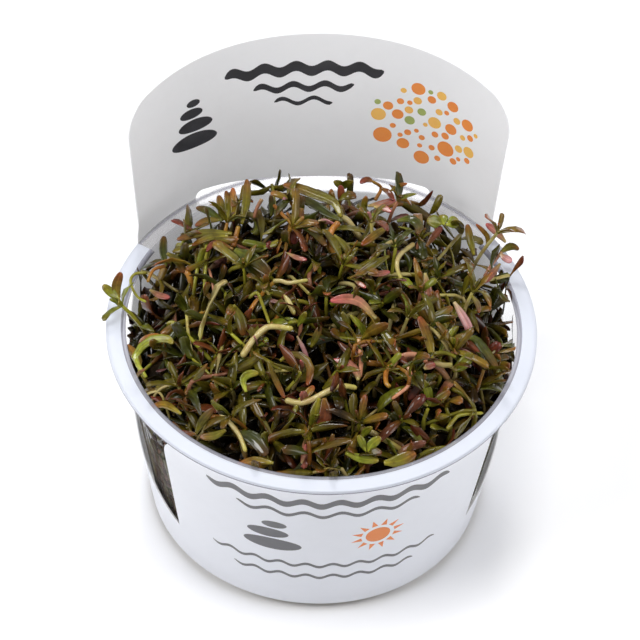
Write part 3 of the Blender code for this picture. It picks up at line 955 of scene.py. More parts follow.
@dataclass(frozen=True)
class Print:
    """The sleeve's plain print: ripples, bubbles, pebbles and a sun, with no lettering.

    A stroke is (height, length, width), and a pebble is (x, z, half width, half height).
    """

    sleeve: Sleeve
    seed: int = 7
    tab_ripple_angle: float = -3.0
    tab_strokes: tuple[Stroke, ...] = (
        (0.0895, 0.038, 0.0030),
        (0.0842, 0.024, 0.0018),
        (0.0800, 0.014, 0.0012),
    )
    bubble_angle: float = 30.0
    bubble_height: float = 0.0765
    bubble_reach: Pair = (0.0140, 0.0105)
    bubble_sizes: Pair = (0.0006, 0.0026)
    bubble_gap: float = 0.0003
    bubble_tries: int = 700
    bubble_inks: tuple[Ink, ...] = (Ink.ORANGE, Ink.AMBER, Ink.ORANGE, Ink.GREEN)
    tab_stack_place: Pair = (-33.0, 0.0735)
    tab_stack: tuple[Pebble, ...] = (
        (0.0, 0.0, 0.0062, 0.0023),
        (0.0006, 0.0046, 0.0046, 0.0019),
        (-0.0003, 0.0084, 0.0031, 0.0015),
        (0.0004, 0.0114, 0.0018, 0.0011),
    )
    front_angle: float = -180.0
    front_strokes: tuple[Stroke, ...] = ((0.0475, 0.060, 0.0024), (0.0428, 0.044, 0.0013))
    low_strokes: tuple[Stroke, ...] = ((0.0200, 0.056, 0.0011), (0.0150, 0.044, 0.0011))
    front_height: float = 0.0315
    front_stack: tuple[Pebble, ...] = (
        (0.0130, -0.0036, 0.0070, 0.0024),
        (0.0140, 0.0012, 0.0050, 0.0019),
        (0.0124, 0.0050, 0.0030, 0.0014),
    )
    sun_shift: float = -0.0120
    sun_radius: float = 0.0030
    sun_rays: int = 12
    ray_reach: Pair = (0.0040, 0.0066)
    ray_width: float = 0.0015
    wave_steps: int = 12
    wave_height: float = 0.11
    least_end: float = 0.05
    end_power: int = 20

    def spot(self, angle: float, height: float, x: float, z: float) -> Pair:
        """A point x round and z up from a place on the card, in metres."""
        return angle + math.degrees(x / self.sleeve.radius(angle, height)), height + z

    def oval(self, angle: float, height: float, wide: float, tall: float, steps: int = 22) -> Outline:
        """An oval with the given half sizes."""
        turns = [math.tau * step / steps for step in range(steps)]
        return [self.spot(angle, height, wide * math.cos(t), tall * math.sin(t)) for t in turns]

    def ripple(self, angle: float, height: float, length: float, width: float, wave: float) -> Outline:
        """A stroke with round ends that follows a sine.

        Args:
            angle: Middle of the stroke.
            height: Middle of the stroke.
            length: Its length.
            width: Its width.
            wave: Length of one wave.

        Returns:
            The stroke's outline.
        """
        waves = length / wave
        steps = int(self.wave_steps * waves)
        upper = []
        lower = []
        for step in range(steps + 1):
            share = step / steps
            z = wave * self.wave_height * math.sin(math.tau * waves * share)
            taper = max(self.least_end, 1.0 - (2.0 * share - 1.0) ** self.end_power)
            half = width / 2 * math.sqrt(taper)
            upper.append(self.spot(angle, height, (share - 0.5) * length, z + half))
            lower.append(self.spot(angle, height, (share - 0.5) * length, z - half))
        return upper + list(reversed(lower))

    def ray(
        self, angle: float, height: float, turn: float, start: float, end: float, width: float
    ) -> Outline:
        """One tapering ray that points away from a centre.

        Args:
            angle: The centre.
            height: The centre.
            turn: Direction in which the ray points.
            start: Distance from the centre to its wide end.
            end: Distance from the centre to its tip.
            width: Its width.

        Returns:
            The ray's outline.
        """
        outward = Vector((math.cos(turn), math.sin(turn)))
        side = Vector((-outward.y, outward.x)) * width / 2
        corners = (outward * start + side, outward * start - side, outward * end)
        return [self.spot(angle, height, corner.x, corner.y) for corner in corners]

    def ripples(
        self, ink: Ink, inside: bool, angle: float, strokes: tuple[Stroke, ...], wave: float
    ) -> Iterator[Motif]:
        """Strokes one below the other."""
        for height, length, width in strokes:
            yield Motif(ink, inside, self.ripple(angle, height, length, width, wave))

    def pebbles(
        self, ink: Ink, inside: bool, angle: float, height: float, stack: tuple[Pebble, ...]
    ) -> Iterator[Motif]:
        """A small stack of pebbles."""
        for x, z, wide, tall in stack:
            yield Motif(ink, inside, self.oval(*self.spot(angle, height, x, z), wide, tall, steps=30))

    def bubbles(self) -> Iterator[Motif]:
        """A cluster of coloured bubbles on the tab.

        Returns:
            Each bubble in turn.
        """
        rng = random.Random(self.seed)
        placed: list[tuple[float, float, float]] = []
        reach_x, reach_z = self.bubble_reach
        for _ in range(self.bubble_tries):
            radius = rng.uniform(*self.bubble_sizes)
            x = rng.uniform(-reach_x, reach_x)
            z = rng.uniform(-reach_z, reach_z)
            outside = (x / reach_x) ** 2 + (z / reach_z) ** 2 > 1.0
            free = radius + self.bubble_gap
            if outside or any(math.hypot(x - a, z - b) < free + c for a, b, c in placed):
                continue
            placed.append((x, z, radius))
            place = self.spot(self.bubble_angle, self.bubble_height, x, z)
            yield Motif(rng.choice(self.bubble_inks), True, self.oval(*place, radius, radius))

    def sun(self) -> Iterator[Motif]:
        """A small sun with rays on the front.

        Returns:
            Its disc and then each ray.
        """
        sun = self.spot(self.front_angle, self.front_height, self.sun_shift, 0.0)
        yield Motif(Ink.ORANGE, False, self.oval(*sun, self.sun_radius, self.sun_radius, steps=28))
        for number in range(self.sun_rays):
            turn = math.tau * (number + 0.5) / self.sun_rays
            yield Motif(Ink.ORANGE, False, self.ray(*sun, turn, *self.ray_reach, self.ray_width))

    def motifs(self) -> list[Motif]:
        """Every printed shape, first the tab's and then the front's. None touches another.

        Returns:
            The shapes.
        """
        front = self.front_angle
        return [
            *self.ripples(Ink.BLACK, True, self.tab_ripple_angle, self.tab_strokes, wave=0.0076),
            *self.bubbles(),
            *self.pebbles(Ink.BLACK, True, *self.tab_stack_place, self.tab_stack),
            *self.ripples(Ink.GREY, False, front, self.front_strokes, wave=0.0085),
            *self.ripples(Ink.GREY, False, front, self.low_strokes, wave=0.0062),
            *self.sun(),
            *self.pebbles(Ink.GREY, False, front, self.front_height, self.front_stack),
        ]


# Small grown shapes


@dataclass(frozen=True)
class Template:
    """A small closed shape, made once and copied many times. Its length runs along Y from 0 to 1."""

    points: Array
    corners: Array
    starts: Array
    across: Array

    @classmethod
    def of(cls, bm: bmesh.types.BMesh) -> "Template":
        """Take a template from a bmesh.

        Args:
            bm: A closed bmesh with its normals outward, freed here.

        Returns:
            The template.
        """
        mesh = bpy.data.meshes.new("template")
        bm.to_mesh(mesh)
        bm.free()
        points = np.array([vert.co for vert in mesh.vertices])
        corners = np.array([loop.vertex_index for loop in mesh.loops])
        starts = np.array([face.loop_start for face in mesh.polygons])
        bpy.data.meshes.remove(mesh)
        half = np.abs(points[:, 0]).max()
        uv = np.stack([0.5 + points[corners, 0] / (2 * half), points[corners, 1]], axis=1)
        return cls(points, corners, starts, uv)


@dataclass(frozen=True)
class BladeForm:
    """Outline and section of a kind of blade, as shares of its length and of half its width."""

    rows: tuple[float, ...]
    widths: tuple[float, ...]
    columns: int = 2
    edge: float = 0.45
    edge_start: float = 0.9
    tip_thickness: float = 0.6
    tip_cut: float = 0.03

    def template(self) -> Template:
        """Shape a flat strip into the blade and give it two sides.

        Returns:
            The blade's template.
        """
        last = len(self.rows) - 1
        bm = bmesh.new()
        bmesh.ops.create_grid(bm, x_segments=self.columns, y_segments=last, size=0.5)
        bmesh.ops.solidify(bm, geom=bm.faces[:], thickness=1.0)
        top = max(vert.co.z for vert in bm.verts)
        for vert in bm.verts:
            row = round((vert.co.y + 0.5) * last)
            side = 2.0 * vert.co.x
            reach = self.rows[row] - (self.tip_cut * abs(side) if row == last else 0.0)
            thick = 1.0 if abs(side) < self.edge_start else self.edge
            thick *= self.tip_thickness if row == last else 1.0
            vert.co = (side * self.widths[row], reach, (vert.co.z - top + 0.5) * thick)
        bmesh.ops.recalc_face_normals(bm, faces=bm.faces)
        return Template.of(bm)


@dataclass(frozen=True)
class TubeForm:
    """A round stem of unit radius with rounded ends."""

    sides: int = 6
    stretches: int = 8
    end_radius: float = 0.45
    end_share: float = 0.03

    def template(self) -> Template:
        """Cut a short cylinder into stretches so that it can bend.

        Returns:
            The stem's template.
        """
        bm = bmesh.new()
        bmesh.ops.create_cone(
            bm, cap_ends=True, cap_tris=False, segments=self.sides, radius1=1.0, radius2=1.0, depth=1.0
        )
        sides = [edge for edge in bm.edges if abs(edge.verts[0].co.z - edge.verts[1].co.z) > 0.5]
        bmesh.ops.subdivide_edges(bm, edges=sides, cuts=self.stretches - 1)
        for vert in bm.verts:
            share = vert.co.z + 0.5
            row = round(share * self.stretches)
            size = self.end_radius if row in (0, self.stretches) else 1.0
            if row == 1:
                share = self.end_share
            if row == self.stretches - 1:
                share = 1.0 - self.end_share
            vert.co = (vert.co.x * size, share, -vert.co.y * size)
        bmesh.ops.recalc_face_normals(bm, faces=bm.faces)
        return Template.of(bm)


class Shape(Enum):
    """The kinds of small shape that the plant is made of."""

    SPOON = BladeForm((0.0, 0.15, 0.38, 0.62, 0.82, 0.95, 1.0), (0.26, 0.34, 0.70, 1.0, 0.94, 0.60, 0.24))
    OBLONG = BladeForm((0.0, 0.12, 0.32, 0.60, 0.84, 0.95, 1.0), (0.36, 0.62, 0.92, 1.0, 0.94, 0.70, 0.32))
    LANCE = BladeForm((0.0, 0.12, 0.32, 0.56, 0.78, 0.93, 1.0), (0.34, 0.66, 1.0, 0.92, 0.62, 0.30, 0.10))
    BROAD = BladeForm(
        (0.0, 0.06, 0.14, 0.25, 0.38, 0.52, 0.66, 0.78, 0.88, 0.95, 0.985, 1.0),
        (0.36, 0.42, 0.56, 0.75, 0.92, 1.0, 0.98, 0.90, 0.74, 0.52, 0.32, 0.14),
        columns=4,
    )
    ROUND = BladeForm(
        (0.0, 0.10, 0.22, 0.36, 0.52, 0.68, 0.82, 0.92, 0.98, 1.0),
        (0.20, 0.30, 0.60, 0.86, 1.0, 0.98, 0.82, 0.58, 0.32, 0.14),
        columns=4,
    )
    TUBE = TubeForm()
    LONG_TUBE = TubeForm(sides=8, stretches=20)


class Stock:
    """The templates, each made on first use."""

    made: dict[Shape, Template] = {}

    @classmethod
    def get(cls, shape: Shape) -> Template:
        """The template of a shape."""
        if shape not in cls.made:
            cls.made[shape] = shape.value.template()
        return cls.made[shape]


class Batch:
    """Many small shapes joined into one mesh, each point with its own colour."""

    TONE = "tone"
    BLADE = "blade"

    def __init__(self) -> None:
        """Start empty."""
        self.parts: list[tuple[Template, Array, Array, int]] = []

    def add(self, shape: Shape, points: Array, tones: Array, slot: int) -> None:
        """Add one bent copy of a template, with its points, their colours and its material's number."""
        self.parts.append((Stock.get(shape), points, tones, slot))

    def build(self, name: str, materials: Materials) -> bpy.types.Object:
        """Join everything into one piece.

        Args:
            name: The piece's name.
            materials: Its material slots.

        Returns:
            The piece.
        """
        templates, points, tones, slots = zip(*self.parts)
        first_points = np.cumsum([0] + [len(part) for part in points])
        first_corners = np.cumsum([0] + [len(template.corners) for template in templates])
        corners = [template.corners + first for template, first in zip(templates, first_points)]
        starts = [template.starts + first for template, first in zip(templates, first_corners)]
        face_slots = np.repeat(slots, [len(part) for part in starts])
        mesh = bpy.data.meshes.new(name)
        mesh.vertices.add(int(first_points[-1]))
        mesh.vertices.foreach_set("co", np.concatenate(points).astype(np.float32).ravel())
        mesh.loops.add(int(first_corners[-1]))
        mesh.loops.foreach_set("vertex_index", np.concatenate(corners).astype(np.int32))
        mesh.polygons.add(len(face_slots))
        mesh.polygons.foreach_set("loop_start", np.concatenate(starts).astype(np.int32))
        mesh.polygons.foreach_set("material_index", face_slots.astype(np.int32))
        mesh.update(calc_edges=True)
        layer = mesh.uv_layers.new(name=self.BLADE)
        across = np.concatenate([template.across for template in templates])
        layer.data.foreach_set("uv", across.astype(np.float32).ravel())
        colors = np.ones((len(mesh.vertices), 4), dtype=np.float32)
        colors[:, :3] = np.concatenate(tones)
        attribute = mesh.attributes.new(self.TONE, "FLOAT_COLOR", "POINT")
        attribute.data.foreach_set("color", colors.ravel())
        mesh.shade_smooth()
        mesh.validate()
        return add_piece(name, mesh, materials)


# Colours of the plant


@dataclass(frozen=True)
class Hue:
    """Colours of a blade at its root, in its middle and at its tip."""

    root: Color
    body: Color
    tip: Color

    root_share = 0.35
    tip_start = 0.45
    tip_share = 0.5
    tip_power = 1.5

    def over(self, share: Array, tip_amount: float) -> Array:
        """Colour at each share of the length.

        Args:
            share: Shares of the blade's length.
            tip_amount: How far the tip takes its own colour, from 0 to 1.

        Returns:
            One colour for each share.
        """
        near_root = np.clip(1.0 - share / self.root_share, 0.0, 1.0)[:, None]
        towards_tip = np.clip((share - self.tip_start) / self.tip_share, 0.0, 1.0)
        near_tip = (towards_tip**self.tip_power * tip_amount)[:, None]
        colors = np.array(self.body) * (1.0 - near_root) + np.array(self.root) * near_root
        return colors * (1.0 - near_tip) + np.array(self.tip) * near_tip


class LeafHue(Enum):
    """The colours that the leaves have."""

    DEEP = Hue((0.100, 0.105, 0.009), (0.041, 0.051, 0.004), (0.095, 0.042, 0.007))
    OLIVE = Hue((0.200, 0.170, 0.013), (0.118, 0.105, 0.008), (0.180, 0.066, 0.012))
    AMBER = Hue((0.240, 0.205, 0.018), (0.185, 0.122, 0.012), (0.260, 0.070, 0.020))
    FRESH = Hue((0.280, 0.290, 0.030), (0.185, 0.210, 0.016), (0.190, 0.150, 0.014))
    RUSSET = Hue((0.180, 0.095, 0.014), (0.130, 0.038, 0.011), (0.160, 0.027, 0.016))
    ROSE = Hue((0.330, 0.280, 0.090), (0.330, 0.140, 0.085), (0.380, 0.085, 0.080))
    MAUVE = Hue((0.350, 0.280, 0.130), (0.400, 0.200, 0.190), (0.360, 0.125, 0.140))


class StemHue(Enum):
    """The colours that the stems have."""

    PALE = Hue((0.400, 0.320, 0.110), (0.470, 0.390, 0.165), (0.410, 0.360, 0.085))
    GREEN = Hue((0.210, 0.190, 0.025), (0.260, 0.240, 0.025), (0.300, 0.300, 0.025))
    RUST = Hue((0.280, 0.120, 0.020), (0.360, 0.140, 0.020), (0.320, 0.180, 0.025))
    ROSY = Hue((0.430, 0.270, 0.120), (0.470, 0.220, 0.130), (0.450, 0.190, 0.100))


LEAF_SHARES = {
    LeafHue.DEEP: 0.27,
    LeafHue.OLIVE: 0.30,
    LeafHue.AMBER: 0.13,
    LeafHue.FRESH: 0.11,
    LeafHue.RUSSET: 0.14,
    LeafHue.ROSE: 0.035,
    LeafHue.MAUVE: 0.015,
}
MAIN_SHARES = {LeafHue.DEEP: 0.30, LeafHue.OLIVE: 0.42, LeafHue.AMBER: 0.12, LeafHue.RUSSET: 0.16}
STEM_SHARES = {StemHue.PALE: 0.25, StemHue.GREEN: 0.37, StemHue.RUST: 0.26, StemHue.ROSY: 0.12}


def pick(rng: random.Random, shares: dict) -> Enum:
    """One key, drawn by the shares."""
    return rng.choices(list(shares), weights=list(shares.values()))[0]


# Foliage


def unit(vector: Array) -> Array:
    """The vector at length 1."""
    return vector / np.linalg.norm(vector)


def square_to(vector: Array, axis: Array) -> Array:
    """The part of a vector that is square to an axis, at length 1."""
    return unit(vector - axis * vector.dot(axis))


def compass(turn: float) -> Array:
    """The level direction at an angle from +X."""
    return np.array((math.cos(turn), math.sin(turn), 0.0))


@dataclass(frozen=True)
class Leaf:
    """One blade: its size, how far it opens from the stem, its bend and its twist."""

    length: float
    width: float
    lift: float
    curl: float
    twist: float
    ripple: float = 0.0
    thickness: float = 0.00034
    channel: float = 0.34
    ripple_turn: float = 9.0
    least_curl: float = 0.001

    def bend(self, shape: Shape, root: Array, stem: Array, outward: Array) -> Array:
        """Bend a blade into place.

        Args:
            shape: The blade's template.
            root: Where the blade starts.
            stem: Direction of the stem there.
            outward: Direction that the blade opens towards.

        Returns:
            The place of each of the template's points.
        """
        x, y, z = Stock.get(shape).points.T
        curl = self.curl if abs(self.curl) > self.least_curl else self.least_curl
        angle = self.lift + curl * y
        along = (np.sin(angle) - math.sin(self.lift)) / curl * self.length
        out = (math.cos(self.lift) - np.cos(angle)) / curl * self.length
        across = np.cross(outward, stem)
        heading = np.cos(angle)[:, None] * stem + np.sin(angle)[:, None] * outward
        upper = np.cross(across, heading)
        cos_turn = np.cos(self.twist * y)[:, None]
        sin_turn = np.sin(self.twist * y)[:, None]
        side = across * cos_turn - upper * sin_turn
        top = upper * cos_turn + across * sin_turn
        half = self.width / 2
        spine = root + stem * along[:, None] + outward * out[:, None]
        rise = self.channel * x**2 + self.ripple * x * np.sin(self.ripple_turn * y)
        raised = z * self.thickness + rise * half
        return spine + side * (x * half)[:, None] + top * raised[:, None]


class Course:
    """A smooth line, with a place and a direction at each share of its length."""

    half_step = 0.02

    def point(self, share: float) -> Array:
        """Place at a share of the course."""
        raise NotImplementedError

    def heading(self, share: float) -> Array:
        """Direction at a share of the course."""
        ahead, behind = min(share + self.half_step, 1.0), max(share - self.half_step, 0.0)
        return unit(self.point(ahead) - self.point(behind))


@dataclass(frozen=True)
class Path(Course):
    """A smooth line through a few points."""

    knots: tuple[Array, ...]

    def point(self, share: float) -> Array:
        """Place at a share of the path, by a cubic through the two knots beside it.

        Args:
            share: From 0 at the first knot to 1 at the last.

        Returns:
            The place.
        """
        last = len(self.knots) - 1
        number = min(int(share * last), last - 1)
        part = share * last - number
        start, end = self.knots[number], self.knots[number + 1]
        before = self.knots[number - 1] if number else 2 * start - end
        after = self.knots[number + 2] if number + 2 <= last else 2 * end - start
        bend = 2.0 * start + (end - before) * part
        bend = bend + (2.0 * before - 5.0 * start + 4.0 * end - after) * part**2
        return (bend + (3.0 * start - before - 3.0 * end + after) * part**3) / 2.0


@dataclass(frozen=True)
class Girth:
    """Half width and half depth of a shape laid along a path, at its start and at its end."""

    half: Pair
    deep: Pair
    twist: float = 0.0
    channel: float = 0.0

    blade_deep = 0.00045
    blade_channel = 0.30

    @classmethod
    def stem(cls, foot: float, top: float) -> "Girth":
        """A round stem with these radii."""
        return cls((foot, top), (foot, top))

    @classmethod
    def blade(cls, width: float, twist: float = 0.0) -> "Girth":
        """A blade of this width."""
        return cls((width / 2, width / 2), (cls.blade_deep, cls.blade_deep), twist, cls.blade_channel)

    def lay(self, shape: Shape, path: Course, face: Array) -> Array:
        """Lay a template along a path.

        Args:
            shape: The template.
            path: The course of its middle line.
            face: Direction that the shape's upper side looks towards.

        Returns:
            The place of each of the template's points.
        """
        points = Stock.get(shape).points
        shares, rows = np.unique(np.round(points[:, 1], 5), return_inverse=True)
        top = square_to(face, path.heading(0.0))
        frames = []
        for share in shares.tolist():
            axis = path.heading(share)
            top = square_to(top, axis)
            side = np.cross(axis, top)
            turn = self.twist * share
            turned = top * math.cos(turn) + side * math.sin(turn)
            frames.append((path.point(share), side * math.cos(turn) - top * math.sin(turn), turned))
        centres, sides, tops = (np.array(part)[rows.ravel()] for part in zip(*frames))
        x, y, z = points.T
        half = blend(*self.half, y)
        raised = z * blend(*self.deep, y) + self.channel * x**2 * half
        return centres + sides * (x * half)[:, None] + tops * raised[:, None]


@dataclass
class Canopy:
    """How high the plants stand, and the painted shade that darkens their colours anywhere in the cup."""

    cup: Cup
    reach: float = 0.0446
    crown_rise: float = 0.0105
    crown_fall: float = 0.0095
    crown_back_rise: float = 0.0065
    # painted shade: colours fade with depth below the crown
    lit_depth: float = 0.0030
    fade_depth: float = 0.0041
    deepest: float = 0.040
    # painted shade towards the front: colours there keep down to this share
    front_light: float = 0.66
    front_start: float = -0.008
    front_end: float = -0.034
    wall_gap: float = 0.00012
    overhang: float = 0.3
    # painted shade in the open holes: colours there keep down to hole_light
    holes: tuple[tuple[Array, float], ...] = ()
    hole_light: float = 0.12
    hole_start: float = 0.6
    hole_fade: float = 0.7
    shade_and_age_browning: Color = (1.0, 1.12, 1.3)

    def crown(self, x: Array, y: Array) -> Array:
        """Height that the shoots reach: domed, and higher towards the tab."""
        out = (x * x + y * y) / self.reach**2
        return RIM_HEIGHT + self.crown_rise - self.crown_fall * out + self.crown_back_rise * y / self.reach

    def light(self, points: Array) -> Array:
        """Painted shade: how much of each channel points keep. Points far below the crown are painted dark
        and brown, partly as older leaves and mostly as shade; points in the open holes and towards the front
        are painted darker still.

        Args:
            points: The points.

        Returns:
            Red, green and blue share for each point.
        """
        depth = self.crown(points[:, 0], points[:, 1]) - points[:, 2] - self.lit_depth
        kept = np.maximum(np.exp(-np.maximum(depth, 0.0) / self.fade_depth), self.deepest)
        # painted shade in the open holes, as if the light did not reach down into them
        for middle, size in self.holes:
            away = np.hypot(points[:, 0] - middle[0], points[:, 1] - middle[1]) / size
            fade = np.clip((away - self.hole_start) / self.hole_fade, 0.0, 1.0)
            kept = kept * blend(self.hole_light, 1.0, fade)
        # painted shade towards the front of the cup
        front = (points[:, 1] - self.front_start) / (self.front_end - self.front_start)
        kept = kept * blend(1.0, self.front_light, np.clip(front, 0.0, 1.0))
        # painted shade turns browner as it deepens, since each channel keeps its share to its own power
        return np.stack([kept**power for power in self.shade_and_age_browning], axis=1)

    def keep_inside(self, points: Array) -> Array:
        """Press points that would pass through the cup's wall against its inside.

        Args:
            points: The points.

        Returns:
            The points where they may stand.
        """
        radius = np.maximum(np.hypot(points[:, 0], points[:, 1]), MM)
        wall = np.minimum(self.cup.inner_radius(points[:, 2]), self.cup.throat_radius) - self.wall_gap
        over = np.maximum(points[:, 2] - RIM_HEIGHT - self.wall_gap, 0.0)
        result = points.copy()
        result[:, :2] *= np.minimum(1.0, (wall + self.overhang * over) / radius)[:, None]
        return result


LEAF_SLOT = 0
STEM_SLOT = 1


@dataclass
class Planter:
    """Puts leaves and stems into a batch, coloured, darkened by painted shade and kept inside the cup."""

    canopy: Canopy
    materials: Materials
    rng: random.Random
    inside: bool = True
    # painted shade: a fixed share of colour kept at every point; 0 takes the canopy's painted shade instead
    steady_light: float = 0.0
    own_hue: LeafHue | None = None
    batch: Batch = field(default_factory=Batch)
    tone_range: Pair = (0.75, 1.25)
    main_hue_share: float = 0.55
    leaf_shapes: tuple[Shape, ...] = (Shape.OBLONG,) * 3 + (Shape.SPOON, Shape.LANCE)
    ripple: float = 0.32
    tip_amounts: tuple[float, ...] = (0.2, 0.6, 1.0)
    stem_face: Color = (1.0, 0.3, 0.1)

    def put(self, shape: Shape, points: Array, hue: Hue, tip: float, slot: int) -> None:
        """Add a placed shape with its colours.

        Args:
            shape: Its template.
            points: The place of each of its points.
            hue: Its colours.
            tip: How far its tip takes the tip's colour.
            slot: Number of its material.
        """
        if self.inside:
            points = self.canopy.keep_inside(points)
        tones = hue.over(Stock.get(shape).points[:, 1], tip) * self.rng.uniform(*self.tone_range)
        # the tones are multiplied by painted shade
        light = self.steady_light or self.canopy.light(points)
        self.batch.add(shape, points, tones * light, slot)

    def leaf(self, leaf: Leaf, root: Array, stem: Array, outward: Array, main: LeafHue) -> None:
        """Add one leaf, mostly in the shoot's own colour.

        Args:
            leaf: Its size and bend.
            root: Where it starts.
            stem: Direction of the stem there.
            outward: Direction that it opens towards.
            main: The shoot's usual colour.
        """
        rng = self.rng
        hue = self.own_hue or (main if rng.random() < self.main_hue_share else pick(rng, LEAF_SHARES))
        shape = rng.choice(self.leaf_shapes)
        bent = replace(leaf, ripple=rng.uniform(-self.ripple, self.ripple))
        tip = rng.choice(self.tip_amounts)
        self.put(shape, bent.bend(shape, root, stem, outward), hue.value, tip, LEAF_SLOT)

    def pair(
        self,
        leaves: tuple[Leaf, Leaf],
        root: Array,
        stem: Array,
        across: Array,
        main: LeafHue,
        offset: float = 0.0,
    ) -> None:
        """Add two leaves that open to both sides, each an offset away from the stem's middle."""
        for side, leaf in zip((across, -across), leaves):
            self.leaf(leaf, root + side * offset, stem, side, main)

    def stem(self, path: Course, foot: float, top: float, hue: StemHue, shape: Shape = Shape.TUBE) -> None:
        """Add one stem along a course, from its radius at the foot to its radius at the top."""
        points = Girth.stem(foot, top).lay(shape, path, np.array(self.stem_face))
        self.put(shape, points, hue.value, 1.0, STEM_SLOT)

    def finish(self, name: str, node: str, slot: str) -> None:
        """Join the batch into a piece in place of a CAD node, and start a new one.

        Args:
            name: The piece's name.
            node: The CAD node.
            slot: Not used.
        """
        piece = self.batch.build(name, self.materials)
        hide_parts(node)
        self.batch = Batch()


@dataclass(frozen=True)
class Shoot(Course):
    """One upright shoot, as the CAD solid stands: its stem's course and its three pairs of leaves."""

    foot: Array
    reach: Array
    bow: Array
    roll: float
    low_node: float
    low_pair: tuple[Leaf, Leaf]
    long_pair: tuple[Leaf, Leaf]
    short_pair: tuple[Leaf, Leaf]

    stem_half = 0.0005
    node_height = 0.0011
    lean_power = 1.7

    def point(self, share: float) -> Array:
        """Centre of the stem at a share of its length."""
        sweep = self.reach * (1.0, 1.0, 0.0) * share**self.lean_power
        rise = self.reach * UP * share
        return self.foot + sweep + rise + self.bow * math.sin(math.pi * share)

    def sides(self, share: float) -> tuple[Array, Array]:
        """The two directions across the stem that its leaves open towards."""
        axis = self.heading(share)
        side = square_to(compass(self.roll), axis)
        return side, np.cross(axis, side)

    def corner(self) -> Array:
        """One corner of the CAD solid's stem at its top."""
        wide, thick = self.sides(1.0)
        return self.point(1.0) + (wide + thick) * self.stem_half


@dataclass(frozen=True)
class LeafKind:
    """The ranges that a pair of leaves is drawn from. Angles are in degrees."""

    length: Pair
    width: Pair
    lift: Pair
    curl: Pair
    twist: float = 35.0
    width_kept: float = 0.5

    def pair(self, rng: random.Random, scale: float) -> tuple[Leaf, Leaf]:
        """Two leaves of this kind."""
        return self.leaf(rng, scale), self.leaf(rng, scale)

    def leaf(self, rng: random.Random, scale: float) -> Leaf:
        """One leaf of this kind.

        Args:
            rng: Draws its sizes.
            scale: Size beside a usual one.

        Returns:
            The leaf.
        """
        return Leaf(
            length=rng.uniform(*self.length) * scale,
            width=rng.uniform(*self.width) * (self.width_kept + (1.0 - self.width_kept) * scale),
            lift=math.radians(rng.uniform(*self.lift)),
            curl=math.radians(rng.uniform(*self.curl)),
            twist=math.radians(rng.uniform(-self.twist, self.twist)),
        )


LOW_PAIR = LeafKind((0.0065, 0.0095), (0.0020, 0.0027), (52, 78), (5, 50))
LONG_PAIR = LeafKind((0.0075, 0.0110), (0.0022, 0.0030), (38, 66), (-5, 50))
SHORT_PAIR = LeafKind((0.0045, 0.0070), (0.0018, 0.0025), (14, 34), (-5, 25))
SIDE_PAIR = LeafKind((0.0065, 0.0120), (0.0017, 0.0029), (30, 95), (-50, 110), twist=80.0)
TIP_PAIR = LeafKind((0.0055, 0.0105), (0.0016, 0.0026), (8, 60), (-40, 80), twist=70.0)
BUD_PAIR = LeafKind((0.0016, 0.0032), (0.0008, 0.0013), (5, 30), (-10, 20))


